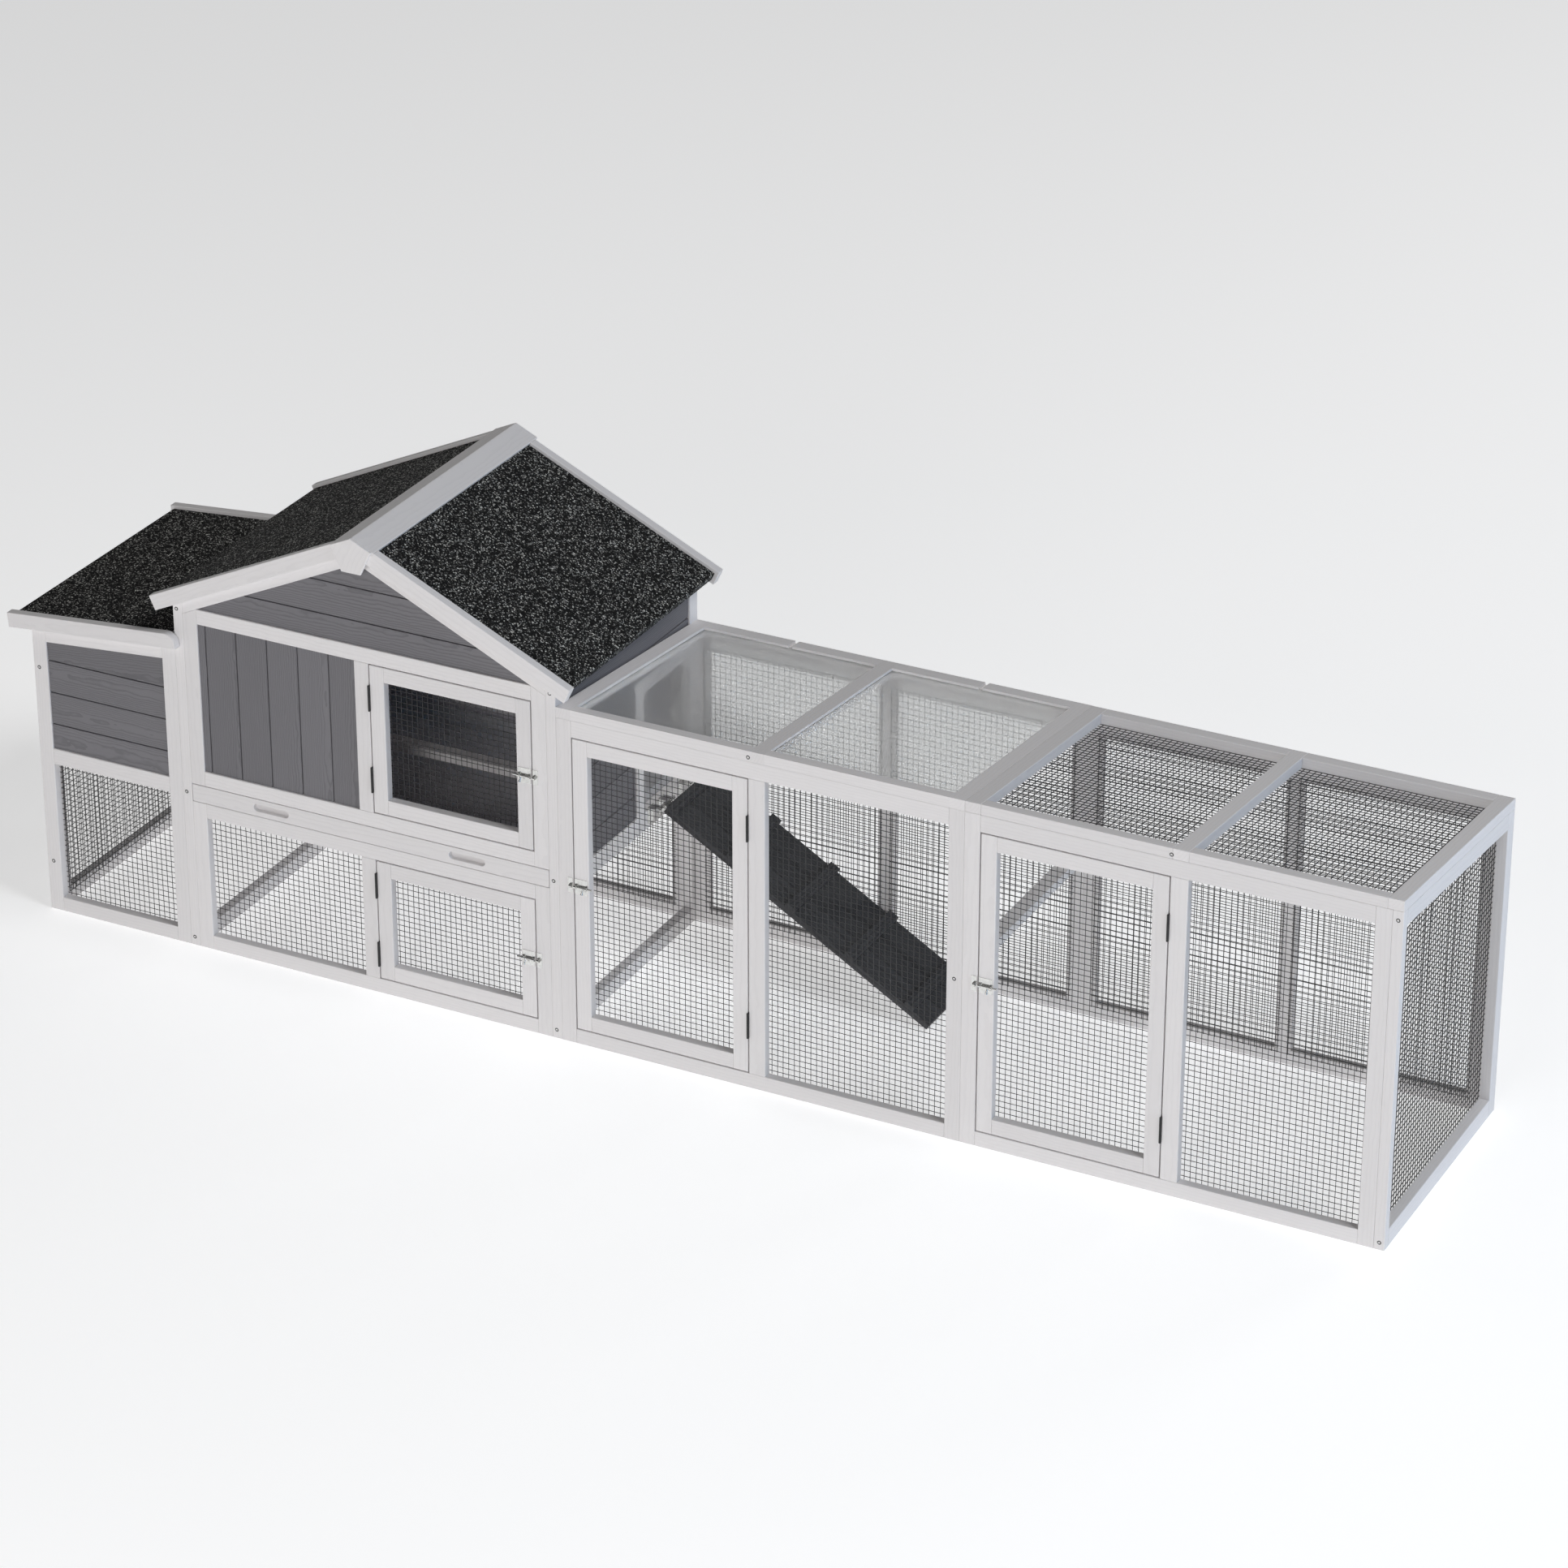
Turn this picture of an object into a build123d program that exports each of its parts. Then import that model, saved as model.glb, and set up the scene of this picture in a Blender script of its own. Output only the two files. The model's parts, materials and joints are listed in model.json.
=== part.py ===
from build123d import *
import os
from math import cos, pi, radians, sin, tan

os.makedirs("parts", exist_ok=True)

# Chicken coop: a gabled hutch with a nest box on its left and a long wire run on its right.
# Lengths are millimetres. X runs to the right along the front, Y to the back, Z up.
# Sizes are taken from three planes: x = 0 is the joint between hutch and run, y = 0 the
# front face of the frames, z = 0 the ground. The last step of each piece moves it so that
# the origin lies on the ground under the middle of the coop.

# Timber
stick_width = 34.0  # face width of the planed frame sticks
stick_thick = 20.0  # thickness of the sticks in the front, back and lid
panel_thick = 23.0  # thickness of the side walls, the end panel and the run roofs
board_thick = 12.0  # tongued boards
board_recess = 4.0  # how far the boards lie behind the frame faces
board_pitch = 75.0  # width of one board with its seam
board_seam = 2.5  # open seam between two boards, bridged by a tongue
tongue_inset = 4.0  # depth of a tongue behind the board face
roof_board_thick = 16.0
felt_thick = 3.0
trim_lip = 7.0  # how far barge boards and lid trims stand above the felt

# Plan
module_length = 914.0  # hutch, and each half of the run
coop_depth = 611.0
nest_length = 363.0
hutch_door_width = 384.0  # clear opening of the hutch doors
run_door_width = 404.0  # clear opening of the run doors
run_mid_width = 37.0  # stile between a run door and the fixed net

# Heights of the hutch
lower_rail_top_height = 351.0
tray_slot_height = 42.0
header_top_height = 805.0
sill_rail_bottom_height = 320.0  # sill rail of the side walls
sill_rail_top_height = 362.0
doorway_height = 278.0
doorway_width = 205.0
nest_doorway_height = 225.0
nest_doorway_width = 196.0

# Main roof
roof_pitch = 25.0
rafter_run = 542.0  # slope length of a barge board from the ridge
barge_drop = 8.0  # barge board below the underside of the roof boards
felt_setback = 8.0  # felt edge inside the barge end
roof_overhang_back = 13.0
ridge_width = 45.0
ridge_overrun = 11.0  # ridge boards past the back barge board
apex_plate_reach = 41.0
apex_plate_thick = 6.0

# Nest box and its lid
nest_rail_top_height = 395.0
nest_rail_depth = 37.0
nest_top_rail = 42.0
lid_pitch = 5.0
lid_drop = 87.0  # underside of the lid board at the hutch wall, below the header's top
lid_reach = 409.0  # slope length of a trim from the hutch wall
lid_overlap = 13.0  # trims past the hutch wall
lid_wall_gap = 13.0  # lid board to hutch wall
lid_corner_radius = 25.0
lid_seat = 0.4  # play under the closed lid
lid_trim_play = 1.0  # play between trims and the frame faces

# Run
run_drop = 58.0  # front of the run below the top of the hutch header
run_fall = 58.4  # drop of the run roof from front to back
run_top_rail = 36.0
end_stile_front = 21.0
end_bottom_rail = 40.0
roof_front_rail = 28.0
pane_thick = 4.0
pane_drop = 6.0  # pane face below the roof sticks
pane_bite = 5.0  # pane edge inside the sticks
pane_play = 0.2
drain_width = 9.0
cross_bar_height = 360.0
cross_bar_thick = 20.0
perch_height = 451.0

# Wire net
wire_thick = 1.2
wire_width = 3.0
net_cell = 101.6
net_lap = 10.0  # net on the back of a stick

# Doors, hinges and slide bolts
door_gap = 2.5
round_flats = 12  # flats that stand for the curve of pins, barrels and bolts
hinge_height = 58.0
hinge_inset = 60.0  # hinge to the near end of a hutch door
run_hinge_inset = 92.0
pin_out = 3.0  # hinge pin in front of the frame face
knuckle_radius = 2.5
pin_radius = 1.0
pin_play = 0.06
leaf_thick = 0.8
leaf_depth = 17.0
knuckle_gap = 0.4
bolt_radius = 2.5
bolt_play = 0.08
bolt_travel = 10.5
latch_length = 30.0
latch_height = 34.0
latch_plate = 1.2
guide_width = 6.0
guide_wall = 1.3
keeper_length = 12.0
latch_setback = 1.0
handle_radius = 1.8
handle_length = 14.0
knob_radius = 2.6
knob_length = 4.0
run_latch_height = 371.5

# Tray
tray_play = 1.2
tray_wall = 1.5
pan_rim = 30.0
slot_length = 86.0
slot_height = 17.0
slot_depth = 11.0
slot_offset = 238.0  # slot centre from the middle of the tray

# Ramp
ramp_top_x = 38.0
ramp_top_z = 367.0
ramp_angle = 30.6
ramp_foot_play = 1.0  # foot of the ramp above the ground
ramp_width = 206.0
ramp_side_gap = 4.0  # back edge of the ramp to the back frame
ramp_thick = 15.0
ramp_seam = 2.0
cleat_width = 25.0
cleat_height = 10.0
cleat_overhang = 2.0
cleat_count = 5
cleat_end = 58.0  # centre of the lowest cleat from the foot of the ramp
ramp_pin_out = 12.0
ramp_pin_drop = 6.0
strap_thick = 2.0
strap_width = 24.0
strap_length = 70.0
strap_barrel = 5.0
strap_pin = 2.0

# Places that follow from the sizes above
hutch_left = -module_length
hutch_middle = hutch_left / 2
post_left = hutch_left + panel_thick + stick_width
post_right = -panel_thick - stick_width
half_opening = (post_right - post_left) / 2
hutch_mid_right = post_right - hutch_door_width
hutch_mid_left = hutch_mid_right - stick_width
lower_rail_low = lower_rail_top_height - stick_width
floor_rail_low = lower_rail_top_height + tray_slot_height
floor_rail_top = floor_rail_low + stick_width
header_low = header_top_height - stick_width
lid_height = header_top_height - lid_drop
run_front_height = header_top_height - run_drop
pitch = radians(roof_pitch)
apex_height = header_top_height + half_opening * tan(pitch) + stick_width / cos(pitch)
wall_top = apex_height + hutch_left / 2 * tan(pitch)
back_face = coop_depth - stick_thick
roof_back = coop_depth + roof_overhang_back
nest_left = hutch_left - nest_length
lid_slope = radians(lid_pitch)
run_end = 2 * module_length
ramp_back = back_face - ramp_side_gap
ramp_front = ramp_back - ramp_width
side_rails = (sill_rail_bottom_height, sill_rail_top_height)
cover_thick = roof_board_thick + felt_thick
ridge_back = roof_back + stick_thick + ridge_overrun
lid_left = hutch_left - lid_reach * cos(lid_slope) - (cover_thick + trim_lip) * sin(lid_slope)
to_origin = Location(
    (
        -(lid_left + run_end) / 2,
        -(ridge_back - stick_thick - apex_plate_thick) / 2,
        0,
    )
)


def keep(label, pieces):
    """Move loose pieces to the coop's own origin and write them as one named group."""
    group = Compound(label=label, children=[piece.moved(to_origin) for piece in pieces])
    export_step(group, f"parts/{label}.step")


def slab(plane, x_span, y_span, depth):
    """A rectangular stick, board or plate standing on a plane."""
    with BuildPart() as piece:
        with BuildSketch(plane):
            with Locations((sum(x_span) / 2, sum(y_span) / 2)):
                Rectangle(x_span[1] - x_span[0], y_span[1] - y_span[0])
        extrude(amount=depth)
    return piece.part


def shape(plane, corners, depth):
    """A straight-sided piece with any outline, cut square through its thickness."""
    with BuildPart() as piece:
        with BuildSketch(plane):
            with BuildLine():
                Polyline(*corners, close=True)
            make_face()
        extrude(amount=depth)
    return piece.part


def front_stick(x_span, z_span, face=0.0):
    """A stick of a front or back frame, with its front side at y = face."""
    return slab(Plane.XZ.offset(-face), x_span, z_span, -stick_thick)


def side_stick(face, y_span, z_span, thick=panel_thick):
    """A stick of a wall that runs to the back, with its left side at x = face."""
    return slab(Plane.YZ.offset(face), y_span, z_span, thick)


def joints(low, high, first):
    """Board edges from low to high, with the first seam at a given place."""
    edges = [low]
    seam = first
    while seam < high - board_seam * 4:
        edges.append(seam)
        seam += board_pitch
    return edges + [high]


def board_wall(plane, outline, edges, upright=False):
    """Tongued boards that fill an outline, side by side between the given edges."""
    boards = []
    strip = 4 * module_length
    for low, high in zip(edges, edges[1:]):
        body_end = high if high == edges[-1] else high - board_seam
        layers = [(low, body_end, 0.0, board_thick)]
        if body_end < high:
            layers.append((body_end - 1, high, tongue_inset, board_thick - 2 * tongue_inset))
        with BuildPart() as board:
            for start, stop, sunk, thick in layers:
                with BuildSketch(plane.offset(-sunk)):
                    with BuildLine():
                        Polyline(*outline, close=True)
                    make_face()
                    middle = (start + stop) / 2
                    with Locations((middle, 0) if upright else (0, middle)):
                        width, height = (stop - start, strip) if upright else (strip, stop - start)
                        Rectangle(width, height, mode=Mode.INTERSECT)
                extrude(amount=-thick)
        boards.append(board.part)
    return boards


def barrel(radius, centre, mode=Mode.ADD):
    """A small round in the sketch at hand, drawn with flats inside its radius."""
    with Locations(centre):
        RegularPolygon(radius, round_flats, mode=mode)


def bore(radius, centre):
    """A small round hole in the sketch at hand, drawn with flats outside its radius."""
    barrel(radius / cos(pi / round_flats), centre, Mode.SUBTRACT)


def box_outline(x_span, y_span):
    """The four corners of a rectangle."""
    return [
        (x_span[0], y_span[0]),
        (x_span[1], y_span[0]),
        (x_span[1], y_span[1]),
        (x_span[0], y_span[1]),
    ]


def wire_net(plane, x_span, y_span, depth=-wire_thick):
    """Welded wire net: one flat sheet with a grid of square holes, lapped onto its frame."""
    width = x_span[1] - x_span[0] + 2 * net_lap
    height = y_span[1] - y_span[0] + 2 * net_lap
    columns = max(2, round(width / net_cell))
    rows = max(2, round(height / net_cell))
    column = (width - wire_width) / columns
    row = (height - wire_width) / rows
    with BuildPart() as net:
        with BuildSketch(plane):
            with Locations((sum(x_span) / 2, sum(y_span) / 2)):
                Rectangle(width, height)
                with GridLocations(column, row, columns, rows):
                    Rectangle(column - wire_width, row - wire_width, mode=Mode.SUBTRACT)
        extrude(amount=depth)
    return net.part


# Hutch frames. Stiles run full height and rails butt between them. Two sloped rails meet
# at the ridge and carry the roof. The front is split by the slot of the tray.
def gable_point(side, along, rise):
    """A point on a roof slope, measured down from the ridge and square to the slope."""
    across = along * cos(pitch) + rise * sin(pitch)
    return (hutch_middle + side * across, apex_height - along * sin(pitch) + rise * cos(pitch))


def slope_height(x, rise=0.0):
    """Height of a line parallel to the roof slope at a place along the front."""
    return apex_height - abs(x - hutch_middle) * tan(pitch) + rise / cos(pitch)


def gable_frame(face, slot_open):
    """The frame of one gable wall, front or back."""
    inner = (post_left, post_right)
    mid = (hutch_mid_left, hutch_mid_right)
    sticks = [
        front_stick(inner, (0, stick_width), face),
        front_stick(inner, (lower_rail_low, lower_rail_top_height), face),
        front_stick(inner, (floor_rail_low, floor_rail_top), face),
        front_stick(inner, (header_low, header_top_height), face),
        front_stick(mid, (stick_width, lower_rail_low), face),
        front_stick(mid, (floor_rail_top, header_low), face),
    ]
    plane = Plane.XZ.offset(-face)
    for side in (-1, 1):
        inner_x = hutch_middle + side * half_opening
        outer_x = inner_x + side * stick_width
        foot = floor_rail_low if slot_open else 0.0
        if slot_open:
            lower = (min(inner_x, outer_x), max(inner_x, outer_x))
            sticks.append(front_stick(lower, (0, lower_rail_top_height), face))
        stile = [
            (inner_x, foot),
            (outer_x, foot),
            (outer_x, slope_height(outer_x, -stick_width)),
            (inner_x, slope_height(inner_x, -stick_width)),
        ]
        sticks.append(shape(plane, stile, -stick_thick))
        rafter = [
            (hutch_middle, slope_height(hutch_middle, -stick_width)),
            (outer_x, slope_height(outer_x, -stick_width)),
            (outer_x, slope_height(outer_x)),
            (hutch_middle, apex_height),
        ]
        sticks.append(shape(plane, rafter, -stick_thick))
    return sticks


keep("hutch_front_frame", gable_frame(0.0, True))
keep("hutch_back_frame", gable_frame(back_face, False))

# Upright boards fill the front opening beside the upper door.
panel = box_outline((post_left, hutch_mid_left), (floor_rail_top, header_low))
panel_edges = joints(post_left, hutch_mid_left, post_left + board_pitch / 4)
front_boards = board_wall(Plane.XZ.offset(-board_recess), panel, panel_edges, upright=True)
keep("hutch_front_boards", front_boards)

# Level boards close the back above the tray, and a strip closes the tray slot.
back_boards = []
back_panel = Plane.XZ.offset(-coop_depth + board_recess + board_thick)
for span in ((post_left, hutch_mid_left), (hutch_mid_right, post_right)):
    edges = joints(floor_rail_top, header_low, floor_rail_top + board_pitch)
    back_boards += board_wall(back_panel, box_outline(span, (floor_rail_top, header_low)), edges)
slot_strip = (lower_rail_top_height, floor_rail_low)
back_boards.append(slab(back_panel, (post_left, post_right), slot_strip, -board_thick))
keep("hutch_back_boards", back_boards)

# Level boards fill both gables up to the sloped rails.
gable_boards = []
gable = [
    (post_left, header_top_height),
    (post_right, header_top_height),
    (hutch_middle, slope_height(hutch_middle, -stick_width)),
]
gable_edges = [
    header_top_height,
    header_top_height + 0.75 * board_pitch,
    header_top_height + 1.75 * board_pitch,
    slope_height(hutch_middle, -stick_width),
]
for plane in (Plane.XZ.offset(-board_recess), back_panel):
    gable_boards += board_wall(plane, gable, gable_edges)
keep("hutch_gable_boards", gable_boards)

# Side walls: full-depth frames between the gable walls, with boards above the sill rail.
# The right wall has a doorway to the run at the back. The left wall has two doorways to
# the nest box. Both are open below the sill rail.
wall_inner = (stick_width, coop_depth - stick_width)
top_rail = (wall_top - stick_width, wall_top)
doorway_front = coop_depth - stick_width - doorway_width
doorway_top = sill_rail_top_height + doorway_height
nest_door_top = nest_rail_top_height + nest_doorway_height
nest_jamb_front = stick_width + nest_doorway_width
nest_jamb_back = coop_depth - nest_jamb_front
nest_jambs = [
    (nest_jamb_front, nest_jamb_front + stick_width),
    (nest_jamb_back - stick_width, nest_jamb_back),
]


def wall_rim(face):
    """Stiles and rails round a side wall."""
    return [
        side_stick(face, (0, stick_width), (0, wall_top)),
        side_stick(face, (coop_depth - stick_width, coop_depth), (0, wall_top)),
        side_stick(face, wall_inner, (0, stick_width)),
        side_stick(face, wall_inner, side_rails),
        side_stick(face, wall_inner, top_rail),
    ]


right_face = -panel_thick
jamb = (doorway_front - stick_width, doorway_front)
lintel = (doorway_top, doorway_top + stick_width)
right_wall = wall_rim(right_face)
right_wall.append(side_stick(right_face, jamb, (sill_rail_top_height, lintel[1])))
right_wall.append(side_stick(right_face, (doorway_front, wall_inner[1]), lintel))
keep("hutch_right_wall_frame", right_wall)

left_wall = wall_rim(hutch_left)
for span in nest_jambs:
    left_wall.append(side_stick(hutch_left, span, (sill_rail_top_height, top_rail[0])))
keep("hutch_left_wall_frame", left_wall)

# The boards of the side walls lie just inside the outer faces. On the right one field
# stands beside the doorway and one runs over it from stile to stile. The left has five.
side_boards = []
right_plane = Plane.YZ.offset(-board_recess)
right_fields = [
    ((wall_inner[0], jamb[0]), (sill_rail_top_height, lintel[1])),
    (wall_inner, (lintel[1], top_rail[0])),
]
for y_span, z_span in right_fields:
    edges = joints(z_span[0], z_span[1], z_span[0] + 0.75 * board_pitch)
    side_boards += board_wall(right_plane, box_outline(y_span, z_span), edges)
left_plane = Plane.YZ.offset(hutch_left + board_recess + board_thick)
left_fields = [(nest_jambs[0][1], nest_jambs[1][0], sill_rail_top_height, top_rail[0])]
for start, stop in ((wall_inner[0], nest_jambs[0][0]), (nest_jambs[1][1], wall_inner[1])):
    left_fields.append((start, stop, sill_rail_top_height, nest_rail_top_height))
    left_fields.append((start, stop, nest_door_top, top_rail[0]))
for start, stop, low, high in left_fields:
    edges = joints(low, high, low + board_pitch)
    side_boards += board_wall(left_plane, box_outline((start, stop), (low, high)), edges)
keep("hutch_side_boards", side_boards)

# Wire net behind the lower openings of the hutch, front left and both at the back.
low_field = (stick_width, lower_rail_low)
left_field = (post_left, hutch_mid_left)
right_field = (hutch_mid_right, post_right)
net_front = Plane.XZ.offset(-stick_thick)
net_back = Plane.XZ.offset(-back_face + wire_thick)
keep(
    "hutch_mesh",
    [
        wire_net(net_front, left_field, low_field),
        wire_net(net_back, left_field, low_field),
        wire_net(net_back, right_field, low_field),
    ],
)

# Bearers under the tray, one along each wall and one in the middle.
inside_nets = (stick_thick + wire_thick, back_face - wire_thick)
bearers = []
bearer_left = hutch_left + panel_thick
bearer_places = [
    bearer_left,
    hutch_middle - stick_thick / 2,
    right_face - stick_thick,
]
for place in bearer_places:
    bearers.append(side_stick(place, inside_nets, (lower_rail_low, lower_rail_top_height), stick_thick))
keep("tray_bearers", bearers)

# A perch crosses the hutch from the front jamb of the nest doorways, and a bar ties the
# front of the run to its back between the two modules.
perch = slab(
    Plane.XY.offset(perch_height),
    (bearer_left, right_face),
    nest_jambs[0],
    stick_thick,
)
cross_bar = slab(
    Plane.XY.offset(cross_bar_height),
    (module_length - stick_width, module_length),
    inside_nets,
    cross_bar_thick,
)
keep("perch_bars", [perch, cross_bar])

# Main roof. Boards rest on the sloped rails and felt covers them and their eave edges.
# Barge boards stand a lip above the felt at front and back, cut square at the eaves. The
# two ridge boards lie in a notch of the barge boards, and an apex plate covers each joint.
roof_boards = []
roof_felt = []
barge_boards = []
ridge_boards = []
eave = rafter_run - felt_setback
lip_top = cover_thick + trim_lip


def mitre(side, rise):
    """The point of a layer of the roof on the ridge line."""
    return gable_point(side, -rise * tan(pitch), rise)


for side in (-1, 1):
    plane = Plane.XZ
    board = [
        mitre(side, 0),
        gable_point(side, eave - felt_thick, 0),
        gable_point(side, eave - felt_thick, roof_board_thick),
        mitre(side, roof_board_thick),
    ]
    roof_boards.append(shape(plane, board, -roof_back))
    felt = [
        mitre(side, roof_board_thick),
        gable_point(side, eave - felt_thick, roof_board_thick),
        gable_point(side, eave - felt_thick, 0),
        gable_point(side, eave, 0),
        gable_point(side, eave, cover_thick),
        mitre(side, cover_thick),
    ]
    roof_felt.append(shape(plane, felt, -roof_back))
    barge = [
        mitre(side, -barge_drop),
        gable_point(side, rafter_run, -barge_drop),
        gable_point(side, rafter_run, lip_top),
        gable_point(side, ridge_width, lip_top),
        gable_point(side, ridge_width, cover_thick),
        mitre(side, cover_thick),
    ]
    barge_boards.append(shape(plane, barge, stick_thick))
    barge_boards.append(shape(plane.offset(-roof_back), barge, -stick_thick))
    ridge = [
        mitre(side, cover_thick),
        gable_point(side, ridge_width, cover_thick),
        gable_point(side, ridge_width, lip_top),
        mitre(side, lip_top),
    ]
    ridge_plane = plane.offset(stick_thick)
    ridge_boards.append(shape(ridge_plane, ridge, -(ridge_back + stick_thick)))

# The apex plate reaches from the lip to the lower edge of the sloped rails.
plate = [
    mitre(1, lip_top),
    gable_point(1, apex_plate_reach, lip_top),
    gable_point(1, apex_plate_reach, -stick_width),
    gable_point(-1, apex_plate_reach, -stick_width),
    gable_point(-1, apex_plate_reach, lip_top),
]
back_plate = [
    mitre(1, cover_thick),
    gable_point(1, apex_plate_reach, cover_thick),
    gable_point(1, apex_plate_reach, -stick_width),
    gable_point(-1, apex_plate_reach, -stick_width),
    gable_point(-1, apex_plate_reach, cover_thick),
]
barge_boards.append(shape(Plane.XZ.offset(stick_thick), plate, apex_plate_thick))
back_plane = Plane.XZ.offset(-roof_back - stick_thick)
barge_boards.append(shape(back_plane, back_plate, -apex_plate_thick))
keep("roof_boards", roof_boards)
keep("roof_felt", roof_felt)
keep("barge_boards", barge_boards)
keep("ridge_boards", ridge_boards)


# Nest box. Its frames are sloped at the top to carry the lid, with net below the floor
# rail and level boards above it.
def lid_point(along, rise):
    """A point of the lid, measured down its slope from the hutch wall and square to it."""
    base = lid_height + lid_seat
    return (
        hutch_left - along * cos(lid_slope) - rise * sin(lid_slope),
        base - along * sin(lid_slope) + rise * cos(lid_slope),
    )


def nest_top(x, below=0.0):
    """Height of the sloped top of the nest box."""
    return lid_height - (hutch_left - x) * tan(lid_slope) - below


nest_inner = (nest_left + stick_width, hutch_left - stick_width)
nest_rail = (nest_rail_top_height - nest_rail_depth, nest_rail_top_height)
nest_frame = []
for face in (0.0, back_face):
    plane = Plane.XZ.offset(-face)
    nest_frame.append(front_stick(nest_inner, (0, stick_width), face))
    nest_frame.append(front_stick(nest_inner, nest_rail, face))
    for low, high in ((nest_left, nest_inner[0]), (nest_inner[1], hutch_left)):
        stile = [(low, 0), (high, 0), (high, nest_top(high)), (low, nest_top(low))]
        nest_frame.append(shape(plane, stile, -stick_thick))
    head = [
        (nest_inner[0], nest_top(nest_inner[0], nest_top_rail)),
        (nest_inner[1], nest_top(nest_inner[1], nest_top_rail)),
        (nest_inner[1], nest_top(nest_inner[1])),
        (nest_inner[0], nest_top(nest_inner[0])),
    ]
    nest_frame.append(shape(plane, head, -stick_thick))
nest_side = (stick_thick, back_face)
nest_side_inner = (stick_thick + stick_width, back_face - stick_width)
nest_side_top = nest_top(nest_left)
side_sticks = [
    (nest_side_inner, (0, stick_width)),
    (nest_side_inner, nest_rail),
    (nest_side_inner, (nest_side_top - stick_width, nest_side_top)),
    ((nest_side[0], nest_side_inner[0]), (0, nest_side_top)),
    ((nest_side_inner[1], nest_side[1]), (0, nest_side_top)),
]
for y_span, z_span in side_sticks:
    nest_frame.append(side_stick(nest_left, y_span, z_span, stick_thick))
keep("nest_frame", nest_frame)

nest_boards = []
nest_field = [
    (nest_inner[0], nest_rail_top_height),
    (nest_inner[1], nest_rail_top_height),
    (nest_inner[1], nest_top(nest_inner[1], nest_top_rail)),
    (nest_inner[0], nest_top(nest_inner[0], nest_top_rail)),
]
nest_first = nest_rail_top_height + 0.8 * board_pitch
nest_edges = joints(nest_rail_top_height, nest_top(nest_inner[1], nest_top_rail), nest_first)
for plane in (Plane.XZ.offset(-board_recess), back_panel):
    nest_boards += board_wall(plane, nest_field, nest_edges)
side_field = (nest_rail_top_height, nest_side_top - stick_width)
nest_boards += board_wall(
    Plane.YZ.offset(nest_left + board_recess + board_thick),
    box_outline(nest_side_inner, side_field),
    joints(side_field[0], side_field[1], nest_first),
)
keep("nest_boards", nest_boards)

nest_low = (stick_width, nest_rail[0])
nest_net_left = Plane.YZ.offset(nest_left + stick_thick + wire_thick)
keep(
    "nest_mesh",
    [
        wire_net(net_front, nest_inner, nest_low),
        wire_net(net_back, nest_inner, nest_low),
        wire_net(nest_net_left, nest_side_inner, nest_low),
    ],
)

# The floor and the divider make two nests.
floor_span = (nest_left + stick_thick, hutch_left)
divider_span = ((coop_depth - board_thick) / 2, (coop_depth + board_thick) / 2)
divider_top = nest_side_top - board_thick
nest_floor = slab(
    Plane.XY.offset(nest_rail_top_height - board_thick), floor_span, nest_side, board_thick
)
nest_divider = slab(
    Plane.XY.offset(nest_rail_top_height), floor_span, divider_span, divider_top - nest_rail_top_height
)
keep("nest_floor", [nest_floor, nest_divider])

# Lid: a board with felt on it between a front and a back trim, built as the main roof is.
board_right = lid_wall_gap
board_left = lid_reach - felt_setback
lid_outline = [
    lid_point(board_right, 0),
    lid_point(board_left - felt_thick, 0),
    lid_point(board_left - felt_thick, roof_board_thick),
    lid_point(board_right, roof_board_thick),
]
lid_y = (-lid_trim_play, coop_depth + lid_trim_play)
lid_plane = Plane.XZ.offset(-lid_y[0])
keep("lid_board", [shape(lid_plane, lid_outline, -(lid_y[1] - lid_y[0]))])
lid_felt_outline = [
    lid_point(board_right, roof_board_thick),
    lid_point(board_left - felt_thick, roof_board_thick),
    lid_point(board_left - felt_thick, 0),
    lid_point(board_left, 0),
    lid_point(board_left, cover_thick),
    lid_point(board_right, cover_thick),
]
keep("lid_felt", [shape(lid_plane, lid_felt_outline, -(lid_y[1] - lid_y[0]))])
trim_outline = [
    lid_point(-lid_overlap, -barge_drop),
    lid_point(lid_reach, -barge_drop),
    lid_point(lid_reach, lip_top),
    lid_point(-lid_overlap, lip_top),
]
lid_trims = []
for face, depth in ((lid_y[0], stick_thick), (lid_y[1], -stick_thick)):
    with BuildPart() as trim:
        with BuildSketch(Plane.XZ.offset(-face)) as trim_sketch:
            with BuildLine():
                Polyline(*trim_outline, close=True)
            make_face()
            fillet(trim_sketch.vertices().sort_by(Axis.Y)[-1], lid_corner_radius)
        extrude(amount=depth)
    lid_trims.append(trim.part)
keep("lid_trims", lid_trims)


# Run. Two modules with a door and a fixed net each. The roof falls to the back, and every
# upright is cut to its slope.
def run_top(y, above=0.0):
    """Height of the underside of the run roof."""
    return run_front_height - y * run_fall / coop_depth + above


def topped_stick(x_span, y_span, low):
    """A stick of the run whose top is cut to the slope of the roof."""
    outline = [
        (y_span[0], low),
        (y_span[1], low),
        (y_span[1], run_top(y_span[1])),
        (y_span[0], run_top(y_span[0])),
    ]
    return shape(Plane.YZ.offset(x_span[0]), outline, x_span[1] - x_span[0])


def run_frame(left, right, y_span):
    """Front or back frame of one run module: stiles, rails and a middle stile."""
    low_top = run_top(y_span[1]) - run_top_rail
    inner = (left + stick_width, right - stick_width)
    mid = (inner[0] + run_door_width, inner[0] + run_door_width + run_mid_width)
    return [
        topped_stick((left, inner[0]), y_span, 0),
        topped_stick((inner[1], right), y_span, 0),
        topped_stick(inner, y_span, low_top),
        front_stick(inner, (0, stick_width), y_span[0]),
        front_stick(mid, (stick_width, low_top), y_span[0]),
    ]


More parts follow.
